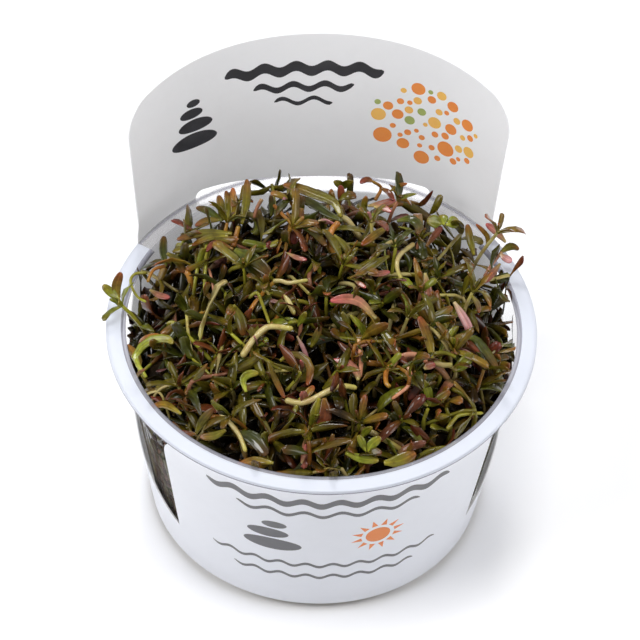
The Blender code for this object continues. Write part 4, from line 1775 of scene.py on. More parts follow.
@dataclass(frozen=True)
class Shoots:
    """The tall shoots. Each is the CAD solid's own shoot again, with finer leaves.

    The swept ones lean over the rim. Each is (x, y, reach along X, reach along Y, rise, scale).
    """

    canopy: Canopy
    materials: Materials
    seed: int = 41
    seed_step: int = 1009
    spacing: float = 0.0114
    spread: float = 0.0398
    jitter: float = 0.0012
    crowded_share: float = 0.6
    variants: int = 160
    shrink: float = 0.45
    height_kept: float = 0.6
    lean: float = 0.0065
    bow: Pair = (0.0003, 0.0014)
    low_node: Pair = (0.34, 0.52)
    crown_spread: float = 0.003
    stem_radii: Pair = (0.00055, 0.00042)
    root_inset: float = 0.6
    slimmer: float = 0.80
    back_start: float = 0.022
    back_shorter: float = 0.68
    droop: Pair = (-0.15, 0.85)
    swept: tuple[tuple[float, ...], ...] = (
        (-0.0400, 0.0020, -0.0070, 0.0020, 0.0040, 0.60),
        (0.0360, 0.0180, 0.0068, 0.0036, 0.0085, 0.85),
    )
    swept_hues: tuple[LeafHue, ...] = (LeafHue.FRESH, LeafHue.AMBER)

    def places(self) -> list[tuple]:
        """Where each shoot stands, as (x, y, sweep), by the CAD model's own rule.

        Returns:
            The places, in the order of the shoots' numbers. The sweep is None for an upright shoot.
        """
        rng = random.Random(self.seed)
        places: list[tuple] = [(x, y, sweep) for x, y, *sweep in self.swept]
        row_height = self.spacing * math.sqrt(3.0) / 2
        rows = int(self.spread / row_height)
        for row in range(-rows, rows + 1):
            shift = self.spacing / 2 if row % 2 else 0.0
            count = int(self.spread / self.spacing) + 1
            for column in range(-count, count + 1):
                x = column * self.spacing + shift + rng.uniform(-self.jitter, self.jitter)
                y = row * row_height + rng.uniform(-self.jitter, self.jitter)
                nearest = min(math.hypot(x - other[0], y - other[1]) for other in places)
                if math.hypot(x, y) < self.spread and nearest >= self.spacing * self.crowded_share:
                    places.append((x, y, None))
        return places

    def plan(self, number: int, variant: int, foot: Array, sweep: list[float] | None) -> Shoot:
        """One way that a numbered shoot can stand, by the CAD model's own rule.

        Args:
            number: The shoot's number.
            variant: Which of its ways, from the largest to the smallest.
            foot: Foot of its stem.
            sweep: How it leans over the rim, or None.

        Returns:
            The shoot.
        """
        rng = random.Random(self.seed + self.seed_step * number + variant)
        scale = 1.0 - self.shrink * variant / self.variants
        top = self.canopy.crown(foot[0], foot[1]) + rng.uniform(-self.crown_spread, self.crown_spread)
        turn = rng.uniform(0.0, math.tau)
        lean = rng.uniform(0.0, self.lean) * scale
        height = (top - foot[2]) * (self.height_kept + (1.0 - self.height_kept) * scale)
        reach = np.array((lean * math.cos(turn), lean * math.sin(turn), height))
        if sweep is not None:
            across_x, across_y, rise, sweep_scale = sweep
            reach = np.array((across_x, across_y, RIM_HEIGHT + rise - foot[2]))
            scale *= sweep_scale
        bend = rng.uniform(0.0, math.tau)
        bow = compass(bend) * rng.uniform(*self.bow)
        return Shoot(
            foot=foot,
            reach=reach,
            bow=bow,
            roll=rng.uniform(0.0, math.tau),
            low_node=rng.uniform(*self.low_node),
            low_pair=LOW_PAIR.pair(rng, scale),
            long_pair=LONG_PAIR.pair(rng, scale),
            short_pair=SHORT_PAIR.pair(rng, scale),
        )

    def find(self, number: int, x: float, y: float, sweep: list[float] | None) -> Shoot:
        """The variant that the CAD model took, known by the corner of its stem's top.

        Args:
            number: The shoot's number.
            x: Where it stands.
            y: Where it stands.
            sweep: How it leans over the rim, or None.

        Returns:
            The shoot.
        """
        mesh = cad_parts[f"shoot_{number:02d}"].data
        points = np.unique(np.round([vert.co for vert in mesh.vertices], 6), axis=0)
        near = points[np.hypot(points[:, 0] - x, points[:, 1] - y) < 2 * Shoot.stem_half]
        foot = np.array((x, y, np.sort(near[:, 2])[:4].mean()))
        plans = [self.plan(number, variant, foot, sweep) for variant in range(self.variants)]
        return min(plans, key=lambda plan: np.linalg.norm(points - plan.corner(), axis=1).min())

    def build(self) -> None:
        """Build every tall shoot in place of its CAD node."""
        for number, (x, y, sweep) in enumerate(self.places(), start=1):
            shoot = self.find(number, x, y, sweep)
            planter = Planter(self.canopy, self.materials, random.Random(self.seed - number))
            if sweep is not None:
                planter.inside = False
                planter.own_hue = self.swept_hues[number - 1]
            self.dress(shoot, planter)
            planter.finish(f"rotala_{number:02d}", f"shoot_{number:02d}", "rotala_leaves")

    def dress(self, shoot: Shoot, planter: Planter) -> None:
        """Add a shoot's stem and leaves.

        Args:
            shoot: The shoot.
            planter: Takes the leaves and the stem.
        """
        rng = planter.rng
        shorter = self.back_shorter if shoot.foot[1] > self.back_start else 1.0
        planter.stem(shoot, *self.stem_radii, pick(rng, STEM_SHARES))
        main = pick(rng, MAIN_SHARES)
        node = Shoot.node_height / np.linalg.norm(shoot.reach)
        low_wide, _ = shoot.sides(shoot.low_node)
        wide, thick = shoot.sides(1.0)
        buds = BUD_PAIR.pair(rng, 1.0)
        for share, axis_share, across, leaves in (
            (shoot.low_node + node / 2, shoot.low_node, low_wide, shoot.low_pair),
            (1.0 - node / 2, 1.0, thick, shoot.long_pair),
            (1.0 - node / 2, 1.0, wide, shoot.short_pair),
            (1.0, 1.0, wide + thick, buds),
        ):
            axis = shoot.heading(axis_share)
            for sign, leaf in zip((1.0, -1.0), leaves):
                outward = square_to(across * sign, axis)
                root = shoot.point(share) + outward * Shoot.stem_half * self.root_inset
                curl = leaf.curl + rng.uniform(*self.droop)
                length, width = leaf.length * shorter, leaf.width * self.slimmer
                limp = replace(leaf, length=length, width=width, curl=curl)
                planter.leaf(limp, root, axis, outward, main)


@dataclass(frozen=True)
class Sprig:
    """A limp shoot whose top end leans over. Its pitch is in degrees."""

    pitch: Pair = (-25.0, 80.0)
    tip_length: Pair = (0.006, 0.013)
    elbow_rise: float = 0.0015
    foot_shift: Pair = (-0.002, 0.004)
    foot_drop: Pair = (0.008, 0.014)
    bow: float = 0.002
    stem_radii: Pair = (0.0006, 0.0004)
    leaf_shares: tuple[float, ...] = (0.45, 0.66, 0.84, 0.985)
    side_leaves_end: float = 0.85
    leaf_scale: Pair = (0.75, 1.05)
    leaf_offset: float = 0.0003

    def add(self, planter: Planter, tip: Array) -> None:
        """Add one sprig.

        Args:
            planter: Takes the leaves and the stem.
            tip: Where its tip is.
        """
        rng = planter.rng
        flat = compass(rng.uniform(0.0, math.tau))
        pitch = math.radians(rng.uniform(*self.pitch))
        heading = flat * math.cos(pitch) + UP * math.sin(pitch)
        elbow = tip - heading * rng.uniform(*self.tip_length) + UP * self.elbow_rise
        foot = elbow - flat * rng.uniform(*self.foot_shift) - UP * rng.uniform(*self.foot_drop)
        side = square_to(compass(rng.uniform(0.0, math.tau)), heading)
        path = Path((foot, (foot + elbow) / 2 + side * rng.uniform(-self.bow, self.bow), elbow, tip))
        planter.stem(path, *self.stem_radii, pick(rng, STEM_SHARES))
        main = pick(rng, MAIN_SHARES)
        for share in self.leaf_shares:
            axis = path.heading(share)
            across = square_to(side, axis)
            side = np.cross(axis, across)
            kind = TIP_PAIR if share > self.side_leaves_end else SIDE_PAIR
            leaves = kind.pair(rng, rng.uniform(*self.leaf_scale))
            planter.pair(leaves, path.point(share), axis, across, main, self.leaf_offset)


@dataclass(frozen=True)
class Arch:
    """A bare stem that arches over, with a few leaves at its end."""

    drop: Pair = (0.0, 0.005)
    reach: Pair = (0.004, 0.010)
    foot_drop: Pair = (0.007, 0.014)
    end_reach: Pair = (0.5, 1.1)
    end_sway: float = 0.004
    end_drop: Pair = (-0.001, 0.006)
    shoulder_back: float = 0.001
    shoulder_sway: float = 0.002
    shoulder_rise: float = 0.0022
    radii: tuple[float, ...] = (0.0003, 0.0005, 0.0005, 0.0007)
    foot_girth: float = 1.1
    leaf_shares: tuple[float, ...] = (0.78, 1.0)
    leaf_scale: float = 0.9

    def add(self, planter: Planter, apex: Array) -> None:
        """Add one arched stem.

        Args:
            planter: Takes the leaves and the stem.
            apex: Its highest point.
        """
        rng = planter.rng
        flat = compass(rng.uniform(0.0, math.tau))
        side = np.cross(flat, UP)
        reach = rng.uniform(*self.reach)
        start = apex - flat * reach - UP * rng.uniform(*self.foot_drop)
        end = apex + flat * reach * rng.uniform(*self.end_reach)
        end = end + side * rng.uniform(-self.end_sway, self.end_sway)
        end[2] -= rng.uniform(*self.end_drop)
        shoulder = (start + apex) / 2 - flat * self.shoulder_back
        shoulder = shoulder + side * rng.uniform(-self.shoulder_sway, self.shoulder_sway)
        shoulder[2] += self.shoulder_rise
        path = Path((start, shoulder, apex, end))
        radius = rng.choice(self.radii)
        planter.stem(path, radius * self.foot_girth, radius, pick(rng, STEM_SHARES), Shape.LONG_TUBE)
        main = pick(rng, MAIN_SHARES)
        for share in self.leaf_shares:
            axis = path.heading(share)
            across = square_to(side, axis)
            planter.pair(TIP_PAIR.pair(rng, self.leaf_scale), path.point(share), axis, across, main)
            side = np.cross(axis, across)


PLANT_CENTRE = (0.0008, -0.0028)


@dataclass(frozen=True)
class Thicket:
    """The limp sprigs and the arched stems between the tall shoots."""

    canopy: Canopy
    materials: Materials
    sprig: Sprig = Sprig()
    arch: Arch = Arch()
    seed: int = 97
    spread: float = 0.0418
    turn_jitter: float = 0.25
    back_drop: float = 0.0085
    arch_back_share: float = 0.5
    layers: tuple[tuple[str, int, Pair], ...] = (
        ("low_sprigs", 112, (0.0070, 0.0150)),
        ("limp_sprigs", 84, (0.0005, 0.0065)),
    )
    arch_count: int = 60

    def spots(self, count: int, rng: random.Random) -> Iterator[Pair]:
        """Evenly scattered places in the cup, each a golden angle on, that leave the holes open.

        Args:
            count: Number of places, with those that fall into holes.
            rng: Draws the jitter.

        Returns:
            Each (x, y) in turn.
        """
        for number in range(count):
            radius = self.spread * math.sqrt((number + 0.5) / count)
            jitter = rng.uniform(-self.turn_jitter, self.turn_jitter)
            turn = number * math.pi * (3.0 - math.sqrt(5.0)) + jitter
            place = radius * compass(turn)[:2] + PLANT_CENTRE
            if all(np.linalg.norm(place - middle[:2]) > size for middle, size in self.canopy.holes):
                yield tuple(place.tolist())

    def below_crown(self, x: float, y: float, drop: float, back_share: float) -> Array:
        """The point that is a drop below the crown, and lower still towards the back."""
        drop += self.back_drop * max(y, 0.0) / self.spread * back_share
        return np.array((x, y, self.canopy.crown(x, y) - drop))

    def build(self) -> None:
        """Fill the space between the tall shoots, one piece for each layer."""
        rng = random.Random(self.seed)
        planter = Planter(self.canopy, self.materials, rng)
        for name, count, drops in self.layers:
            for x, y in self.spots(count, rng):
                self.sprig.add(planter, self.below_crown(x, y, rng.uniform(*drops), 1.0))
            planter.finish(name, "undergrowth", "shaded_leaves")
        for x, y in self.spots(self.arch_count, rng):
            drop = rng.uniform(*self.arch.drop)
            self.arch.add(planter, self.below_crown(x, y, drop, self.arch_back_share))
        planter.finish("arched_stems", "undergrowth", "shaded_leaves")


@dataclass(frozen=True)
class WallStems:
    """Stems that show through the clear wall, from the gel up, their colours darkened to a fixed share as
    painted shade.
    """

    canopy: Canopy
    materials: Materials
    seed: int = 98
    count: int = 190
    turn_jitter: float = 0.4
    open_side: float = 0.80
    # painted shade: the share of colour that the stems behind the wall keep
    light: float = 0.20
    root_depth: float = 0.004
    heights: tuple[float, ...] = (0.020, 0.033, 0.046)
    wall_gap: Pair = (0.0002, 0.0012)
    sway: float = 0.03
    stem_radii: Pair = (0.0006, 0.0005)
    leaf_shares: tuple[float, ...] = (0.25, 0.5, 0.75, 0.95)
    leaf_shift: Pair = (-0.1, 0.04)
    leaf_scale: float = 0.8

    def add(self, planter: Planter, turn: float) -> None:
        """Add one stem.

        Args:
            planter: Takes the leaves and the stem.
            turn: Angle from +X at which it stands.
        """
        rng = planter.rng
        knots = []
        for height in (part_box("growing_gel")[1].z - self.root_depth, *self.heights):
            radius = self.canopy.cup.inner_radius(height) - rng.uniform(*self.wall_gap)
            place = turn + rng.uniform(-self.sway, self.sway)
            knots.append(compass(place) * radius + UP * height)
        path = Path(tuple(knots))
        planter.stem(path, *self.stem_radii, pick(rng, STEM_SHARES))
        for share in self.leaf_shares:
            share += rng.uniform(*self.leaf_shift)
            axis = path.heading(share)
            outward = square_to(compass(turn + math.pi / 2) * rng.choice((-1, 1)), axis)
            leaf = SIDE_PAIR.leaf(rng, self.leaf_scale)
            planter.leaf(leaf, path.point(share), axis, outward, LeafHue.RUSSET)

    def build(self) -> None:
        """Build the stems where no side opening shows the cup."""
        rng = random.Random(self.seed)
        planter = Planter(self.canopy, self.materials, rng, steady_light=self.light)
        for number in range(self.count):
            turn = math.tau * (number + rng.uniform(-self.turn_jitter, self.turn_jitter)) / self.count
            if abs(math.sin(turn)) <= self.open_side:
                self.add(planter, turn)
        planter.finish("wall_stems", "undergrowth", "shaded_leaves")


@dataclass(frozen=True)
class Core:
    """A near-black lathed lump in the middle: painted shade that stands in for the dark tangle that no light
    gets through.
    """

    canopy: Canopy
    shoulder_drop: float = 0.014
    inset: float = 0.0042
    shift: float = 0.75
    drop: float = 0.0180
    segments: int = 96
    wall_rows: int = 14
    top_rings: int = 22
    lumps: tuple[Pair, ...] = ((240.0, 0.0016), (620.0, 0.0007))
    top_lumps: float = 1.6
    level_snap: float = 1e-4
    sharp_degrees: float = 60.0
    # painted shade: the lump's near-black colour
    finish: ShadedMass = ShadedMass("painted_shade_tangle", (0.010, 0.006, 0.002), (0.022, 0.011, 0.003), 0.8)

    def build(self) -> None:
        """Build the tangle: a lathed lump whose top follows the crown."""
        cup = self.canopy.cup
        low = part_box("undergrowth")[0].z
        shoulder = RIM_HEIGHT - self.shoulder_drop
        edge = cup.inner_radius(shoulder) - self.inset
        profile = [(0.0, low)]
        for height in np.linspace(low, shoulder, self.wall_rows).tolist():
            profile.append((cup.inner_radius(height) - self.inset, height))
        profile += [(radius, shoulder) for radius in np.linspace(edge, 0.0, self.top_rings)[1:].tolist()]
        bm = lathe(profile, self.segments)
        for vert in bm.verts:
            lump = sum(noise.noise(vert.co * scale) * size for scale, size in self.lumps)
            if vert.co.z > shoulder - self.level_snap:
                crown = float(self.canopy.crown(vert.co.x, vert.co.y))
                vert.co.z = crown - self.drop + lump * self.top_lumps
            elif vert.co.z > low + self.level_snap:
                vert.co.xy *= 1.0 + lump / vert.co.xy.length
            vert.co.xy += Vector(PLANT_CENTRE) * self.shift
        mesh = smooth_mesh("painted_shade_tangle", bm, self.sharp_degrees)
        piece = add_piece("painted_shade_tangle", mesh, [self.finish.material()])
        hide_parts("undergrowth")


@dataclass(frozen=True)
class Strand:
    """One striking leaf or stem, by the pixels that its middle line passes in the photograph."""

    hue: Enum
    width_mm: float
    lift_mm: Pair
    course_px: tuple[float, ...]
    twist: float = 0.0
    shape: Shape = Shape.BROAD

    def path(self, studio: "Studio", canopy: Canopy) -> Path:
        """Its course in the cup.

        Args:
            studio: Knows where the camera stands.
            canopy: Knows how high the plants stand.

        Returns:
            The course.
        """
        pixels = list(zip(self.course_px[::2], self.course_px[1::2]))
        lifts = [blend(*self.lift_mm, number / (len(pixels) - 1)) * MM for number in range(len(pixels))]
        return Path(tuple(studio.find(*pixel, canopy, lift) for pixel, lift in zip(pixels, lifts)))


DEEP, OLIVE, AMBER, FRESH = LeafHue.DEEP, LeafHue.OLIVE, LeafHue.AMBER, LeafHue.FRESH
RUSSET, ROSE, MAUVE = LeafHue.RUSSET, LeafHue.ROSE, LeafHue.MAUVE
PALE, GREEN, RUST, ROSY = StemHue.PALE, StemHue.GREEN, StemHue.RUST, StemHue.ROSY
LEVEL = (1.5, 1.5)
RISING = (-1.0, 3.5)
FALLING = (2.0, -2.0)
ARCHED = (1.0, 2.0)

LEFT_STRANDS = (
    Strand(RUST, 1.3, (-2, 1), (233, 247, 236, 236, 238.5, 226)),
    Strand(OLIVE, 1.9, RISING, (222, 221, 221, 208, 218.6, 195)),
    Strand(OLIVE, 1.8, RISING, (227, 221, 228, 206, 226, 190.6), 0.4),
    Strand(AMBER, 1.7, RISING, (233, 221, 234, 204, 232.8, 187.5), -0.5),
    Strand(OLIVE, 2.1, RISING, (241.5, 224, 246, 202, 247, 179), 0.3),
    Strand(DEEP, 2.0, LEVEL, (222, 221, 209, 212, 196.4, 207.4)),
    Strand(AMBER, 1.8, LEVEL, (220, 220, 207, 221, 195, 226), 0.4),
    Strand(OLIVE, 1.9, LEVEL, (231.6, 233.5, 205, 233, 176.5, 239.6)),
    Strand(OLIVE, 1.8, LEVEL, (228, 236, 210, 238, 191.8, 245.7), 0.5),
    Strand(RUSSET, 1.5, LEVEL, (233, 249, 216, 243, 205.6, 252)),
    Strand(DEEP, 3.2, LEVEL, (234.7, 250, 252, 259, 271.4, 276)),
    Strand(DEEP, 2.8, FALLING, (237.7, 259.5, 251, 268, 262, 282)),
    Strand(DEEP, 2.0, RISING, (165.8, 267, 163, 250, 164, 235.7)),
    Strand(OLIVE, 2.0, FALLING, (167, 253, 177, 261, 184, 273)),
    Strand(RUST, 0.9, ARCHED, (165.8, 265.6, 153.6, 270, 147.4, 282)),
    Strand(GREEN, 0.8, ARCHED, (147.4, 272.5, 135, 274, 130.6, 282, 136.7, 296, 146, 302)),
    Strand(ROSE, 1.6, LEVEL, (150, 290, 160, 296, 170, 298)),
    Strand(PALE, 2.2, ARCHED, (227, 281, 218, 287, 207, 313, 199.5, 340.6), 2.5, Shape.OBLONG),
    Strand(OLIVE, 2.6, FALLING, (233, 305, 240, 320, 244, 336)),
    Strand(FRESH, 2.0, ARCHED, (146, 377, 135, 357, 150.5, 340.6, 167, 339, 173.5, 343.6)),
    Strand(AMBER, 1.9, LEVEL, (181, 414, 165, 405, 150, 408), 0.3),
    Strand(RUSSET, 1.5, LEVEL, (196, 434, 187, 434, 178, 432)),
    Strand(FRESH, 2.2, (4.5, 8.5), (119, 298, 111, 293, 102.5, 285)),
    Strand(AMBER, 2.3, (4.5, 9.0), (119, 298, 116, 286, 121, 272)),
)
BACK_STRANDS = (
    Strand(OLIVE, 2.9, (1, 3), (341, 217, 334, 203, 317, 196, 299, 189, 282.5, 184.4)),
    Strand(DEEP, 2.2, LEVEL, (342, 221, 326.5, 213, 307, 201.6, 279.7, 194)),
    Strand(RUSSET, 3.0, FALLING, (301.7, 208.3, 298, 226, 293, 244.6)),
    Strand(DEEP, 1.9, ARCHED, (292, 229, 303.6, 226, 317, 235, 326.5, 246.5)),
    Strand(FRESH, 1.9, RISING, (342, 190, 340, 185, 334, 181.5), 0.0, Shape.ROUND),
    Strand(FRESH, 1.9, RISING, (342, 190, 346, 184, 353, 181), 0.0, Shape.ROUND),
    Strand(RUSSET, 1.8, RISING, (340, 203.5, 341, 194, 340.4, 185)),
    Strand(OLIVE, 1.6, RISING, (365, 213, 364, 204, 366, 196)),
    Strand(RUST, 0.9, (-1, 4), (375, 200.6, 381, 188, 373, 181.5)),
    Strand(RUSSET, 1.6, (4, 3), (373, 181.5, 367, 180, 360, 183)),
    Strand(RUSSET, 1.4, (3, 2), (381, 188, 389, 193, 393.5, 200.6)),
    Strand(AMBER, 1.1, RISING, (390.6, 191, 398, 186, 407, 183.5)),
    Strand(ROSE, 1.7, LEVEL, (367.7, 206, 382, 204, 395.4, 199.7)),
    Strand(ROSE, 1.5, LEVEL, (374, 207, 383, 208, 391.6, 212)),
    Strand(MAUVE, 1.3, LEVEL, (318, 221, 326, 221, 334, 223.6), 1.5),
    Strand(RUST, 1.6, FALLING, (339, 222, 331, 232, 331, 246.5, 336, 255)),
    Strand(OLIVE, 1.8, FALLING, (334, 235, 345, 247, 354, 262)),
    Strand(AMBER, 1.9, LEVEL, (388, 227, 375, 235, 361, 245.6)),
    Strand(OLIVE, 2.0, LEVEL, (388.7, 256, 372, 266, 354, 278)),
    Strand(ROSY, 1.0, FALLING, (262, 199, 257, 208, 254, 218)),
    Strand(DEEP, 1.5, RISING, (271, 216, 272, 205, 270.6, 195)),
    Strand(RUST, 1.0, ARCHED, (273, 204, 283, 215, 293, 225.5)),
    Strand(ROSE, 1.2, LEVEL, (287, 253, 297, 258, 307, 260)),
    Strand(PALE, 1.1, LEVEL, (273, 281, 281, 281, 288, 283, 296, 282, 308, 280)),
    Strand(FRESH, 1.4, RISING, (320, 274, 319, 270, 317, 266), 0.0, Shape.ROUND),
    Strand(ROSE, 1.1, LEVEL, (355, 281, 360, 284, 366, 288)),
    Strand(ROSE, 1.4, LEVEL, (368, 274, 379, 274, 390, 272)),
)
MIDDLE_STRANDS = (
    Strand(GREEN, 0.9, ARCHED, (248, 298, 257, 293, 262, 303, 269.6, 324)),
    Strand(PALE, 1.6, ARCHED, (242, 357, 252, 341, 265.5, 328, 279, 327, 293, 329)),
    Strand(FRESH, 1.6, RISING, (298, 326, 302, 319, 306, 312), 0.0, Shape.ROUND),
    Strand(MAUVE, 1.0, FALLING, (297, 336, 303, 348, 308, 360)),
    Strand(PALE, 1.3, LEVEL, (284, 295, 290, 304, 295, 314.5), 1.0, Shape.OBLONG),
    Strand(ROSE, 2.4, (1, 3), (376, 319, 362, 304, 348, 299, 329.8, 301)),
    Strand(OLIVE, 2.2, FALLING, (342, 312, 346, 322, 341, 332)),
    Strand(ROSY, 1.2, ARCHED, (358, 339, 361, 358, 360, 378)),
    Strand(OLIVE, 2.1, LEVEL, (376, 323, 389, 340, 399, 357)),
    Strand(ROSE, 2.0, (3, 1), (358, 380, 357, 374, 348, 363.5, 331.8, 360)),
    Strand(FRESH, 1.9, ARCHED, (246, 392, 243, 380, 249, 374, 259, 373)),
    Strand(AMBER, 1.4, (3, 0), (267.6, 360, 274, 377, 285, 399)),
    Strand(PALE, 1.5, ARCHED, (285, 400, 299, 403, 311, 400, 328, 391, 342, 386, 357, 388)),
    Strand(GREEN, 0.9, RISING, (286, 391, 294, 382, 301, 372)),
    Strand(ROSE, 0.9, RISING, (301, 372, 302, 366, 300.7, 360)),
    Strand(AMBER, 1.9, ARCHED, (280, 361, 289, 355, 301, 356, 310, 365.5, 310, 377, 307, 386)),
    Strand(OLIVE, 1.7, RISING, (311, 347, 316, 337, 320.6, 326)),
    Strand(OLIVE, 1.8, RISING, (323, 389, 330, 384, 335, 376)),
    Strand(AMBER, 1.8, LEVEL, (299, 400, 307, 394, 314, 386)),
    Strand(OLIVE, 2.1, FALLING, (297, 405, 290, 422, 280.8, 438), 3.0),
    Strand(RUSSET, 3.0, FALLING, (324, 398, 325, 415, 319, 431)),
    Strand(OLIVE, 2.6, FALLING, (319, 398, 315, 415, 317, 431)),
    Strand(RUST, 1.3, ARCHED, (399, 359, 387, 370, 386, 382, 390, 387)),
    Strand(FRESH, 1.7, RISING, (362, 438, 366, 431, 372, 427), 0.0, Shape.ROUND),
)
RIGHT_STRANDS = (
    Strand(FRESH, 3.2, (3, 4), (441, 224, 435, 222, 427, 220.5), 0.0, Shape.ROUND),
    Strand(FRESH, 3.0, (3, 4), (444, 225, 442, 220, 440, 215), 0.0, Shape.ROUND),
    Strand(FRESH, 3.0, (3, 4), (446, 225, 452, 223, 459, 221), 0.0, Shape.ROUND),
    Strand(RUSSET, 1.6, (2, 3), (426, 246.5, 434, 236, 442, 227)),
    Strand(OLIVE, 1.9, RISING, (474, 255, 470, 240, 467, 224)),
    Strand(AMBER, 1.2, RISING, (487, 248, 487, 236, 476, 224)),
    Strand(ROSE, 1.9, RISING, (505.5, 242, 496, 232, 486, 224)),
    Strand(OLIVE, 2.0, LEVEL, (501, 252, 510, 247, 519, 249)),
    Strand(MAUVE, 1.8, LEVEL, (500, 254, 506, 259, 512, 261)),
    Strand(ROSE, 1.6, LEVEL, (500, 264, 492, 274, 484, 283)),
    Strand(ROSE, 2.0, FALLING, (425, 273, 428, 292, 429, 310)),
    Strand(PALE, 1.2, ARCHED, (414, 243.5, 400, 255, 397, 267, 402, 281)),
    Strand(DEEP, 2.2, ARCHED, (397, 221, 410.6, 219, 419, 227, 417, 235)),
    Strand(AMBER, 2.3, (0, 3), (433, 361, 428, 338, 418.6, 316)),
    Strand(MAUVE, 2.1, FALLING, (454, 302, 460.5, 313, 468, 327, 468, 336)),
    Strand(AMBER, 1.5, FALLING, (472, 296, 477, 304, 479, 313)),
    Strand(OLIVE, 2.0, LEVEL, (429, 318, 441, 314, 452.5, 307)),
    Strand(ROSY, 1.5, ARCHED, (390, 368, 399, 358, 410.5, 354.5, 422, 357, 426.6, 362.5)),
    Strand(PALE, 1.5, ARCHED, (433, 361.6, 442, 365, 452.5, 365)),
    Strand(GREEN, 1.0, ARCHED, (434, 353.6, 445, 352.7, 456, 357)),
    Strand(FRESH, 2.8, RISING, (453, 371, 463, 364, 473, 353)),
    Strand(FRESH, 1.6, RISING, (459, 349, 455, 343, 450, 338), 0.0, Shape.ROUND),
    Strand(DEEP, 2.1, ARCHED, (468, 338, 476, 340, 488, 355, 498, 370)),
    Strand(ROSE, 1.9, LEVEL, (424, 369, 429, 366, 435, 364)),
    Strand(RUSSET, 2.1, FALLING, (426, 374, 418, 387, 408, 400)),
    Strand(ROSY, 1.0, ARCHED, (404, 362, 410.5, 374, 408, 386, 392, 399)),
    Strand(FRESH, 2.0, RISING, (430, 406, 428, 392, 423, 380)),
    Strand(OLIVE, 2.1, RISING, (431, 406, 440, 399, 450, 391)),
    Strand(OLIVE, 1.4, LEVEL, (428, 406, 421, 402, 414, 404)),
    Strand(GREEN, 1.1, (-4, 1), (423, 430, 424, 420, 428, 408)),
    Strand(GREEN, 1.0, LEVEL, (447, 429.5, 454, 420, 461, 415, 483, 413)),
    Strand(ROSY, 0.9, (1.6, -3.0), (502, 252, 497, 258, 490, 267, 484, 277)),
)
FRONT_STRANDS = (
    Strand(AMBER, 2.0, LEVEL, (273.5, 463, 255, 461, 237, 466)),
    Strand(DEEP, 3.2, ARCHED, (238, 433, 254, 439, 267, 456)),
    Strand(ROSE, 0.9, RISING, (301, 465, 304, 455, 306, 444)),
    Strand(RUSSET, 2.1, FALLING, (333, 434, 330, 450, 322.5, 464), 2.0),
    Strand(FRESH, 1.8, (1, 3), (366, 452, 362, 443, 358, 435), 0.0, Shape.ROUND),
    Strand(FRESH, 2.2, (1, 3), (368, 452, 372, 444, 381, 437), 0.0, Shape.ROUND),
    Strand(OLIVE, 2.0, (1, 3), (369, 453, 374, 452, 382, 453), 0.0, Shape.ROUND),
    Strand(FRESH, 2.1, LEVEL, (345.5, 453, 362, 459, 379, 460.6)),
    Strand(OLIVE, 3.0, LEVEL, (384, 463, 400, 461, 416, 453)),
    Strand(OLIVE, 1.9, LEVEL, (226, 430, 214, 436, 200, 437)),
    Strand(PALE, 1.2, ARCHED, (213, 402, 222, 414, 238, 433, 246, 452)),
    Strand(OLIVE, 2.0, RISING, (196, 434, 203, 420, 214, 408)),
)


@dataclass(frozen=True)
class Accents:
    """The leaves and stems that stand out in the photograph, each at its place."""

    canopy: Canopy
    materials: Materials
    studio: "Studio"
    seed: int = 5
    face: Color = (0.1, -0.45, 0.88)
    stem_taper: float = 0.8

    def build(self) -> None:
        """Build every striking leaf and stem."""
        rng = random.Random(self.seed)
        planter = Planter(self.canopy, self.materials, rng, inside=False, steady_light=1.0)
        for strand in LEFT_STRANDS + BACK_STRANDS + MIDDLE_STRANDS + RIGHT_STRANDS + FRONT_STRANDS:
            path = strand.path(self.studio, self.canopy)
            width = strand.width_mm * MM
            if isinstance(strand.hue, StemHue) and strand.shape is Shape.BROAD:
                top = width / 2 * self.stem_taper
                planter.stem(path, width / 2, top, strand.hue, Shape.LONG_TUBE)
            else:
                points = Girth.blade(width, strand.twist).lay(strand.shape, path, np.array(self.face))
                planter.put(strand.shape, points, strand.hue.value, 1.0, LEAF_SLOT)
        planter.finish("striking_leaves", "undergrowth", "shaded_leaves")


@dataclass(frozen=True)
class Gel:
    """The firm gel at the bottom of the cup."""

    cup: Cup
    gap: float = 0.0003
    corner_round: float = 0.0006
    segments: int = 96
    sharp_degrees: float = 50.0
    finish: ShadedMass = ShadedMass("growing_gel", (0.20, 0.14, 0.055), (0.10, 0.075, 0.03), 0.25)

    def build(self) -> None:
        """Build the gel in place of its CAD node."""
        low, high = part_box("growing_gel")
        foot = self.cup.foot_radius - self.cup.foot_round - self.gap
        top = self.cup.inner_radius(high.z) - 2 * self.gap
        small = self.corner_round
        profile = [(0.0, low.z, 0.0), (foot, low.z, small), (top, high.z, small), (0.0, high.z, 0.0)]
        bm = lathe(rounded(profile), self.segments)
        mesh = smooth_mesh("firm_gel", bm, self.sharp_degrees)
        piece = add_piece("firm_gel", mesh, [self.finish.material()])
        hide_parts("growing_gel")


# Studio


@dataclass(frozen=True)
class Softbox:
    """A square light that points at the cup: where it hangs, its side length and its power in watts."""

    name: str
    place: tuple[float, float, float]
    side: float
    power: float

    def add(self) -> None:
        """Add the light."""
        data = bpy.data.lights.new(self.name, "AREA")
        data.shape = "SQUARE"
        data.size = self.side
        data.energy = self.power
        place = Vector(self.place)
        aim = (Vector((0.0, 0.0, RIM_HEIGHT)) - place).to_track_quat("-Z", "Y").to_matrix().to_4x4()
        link_object(self.name, data).matrix_world = Matrix.Translation(place) @ aim


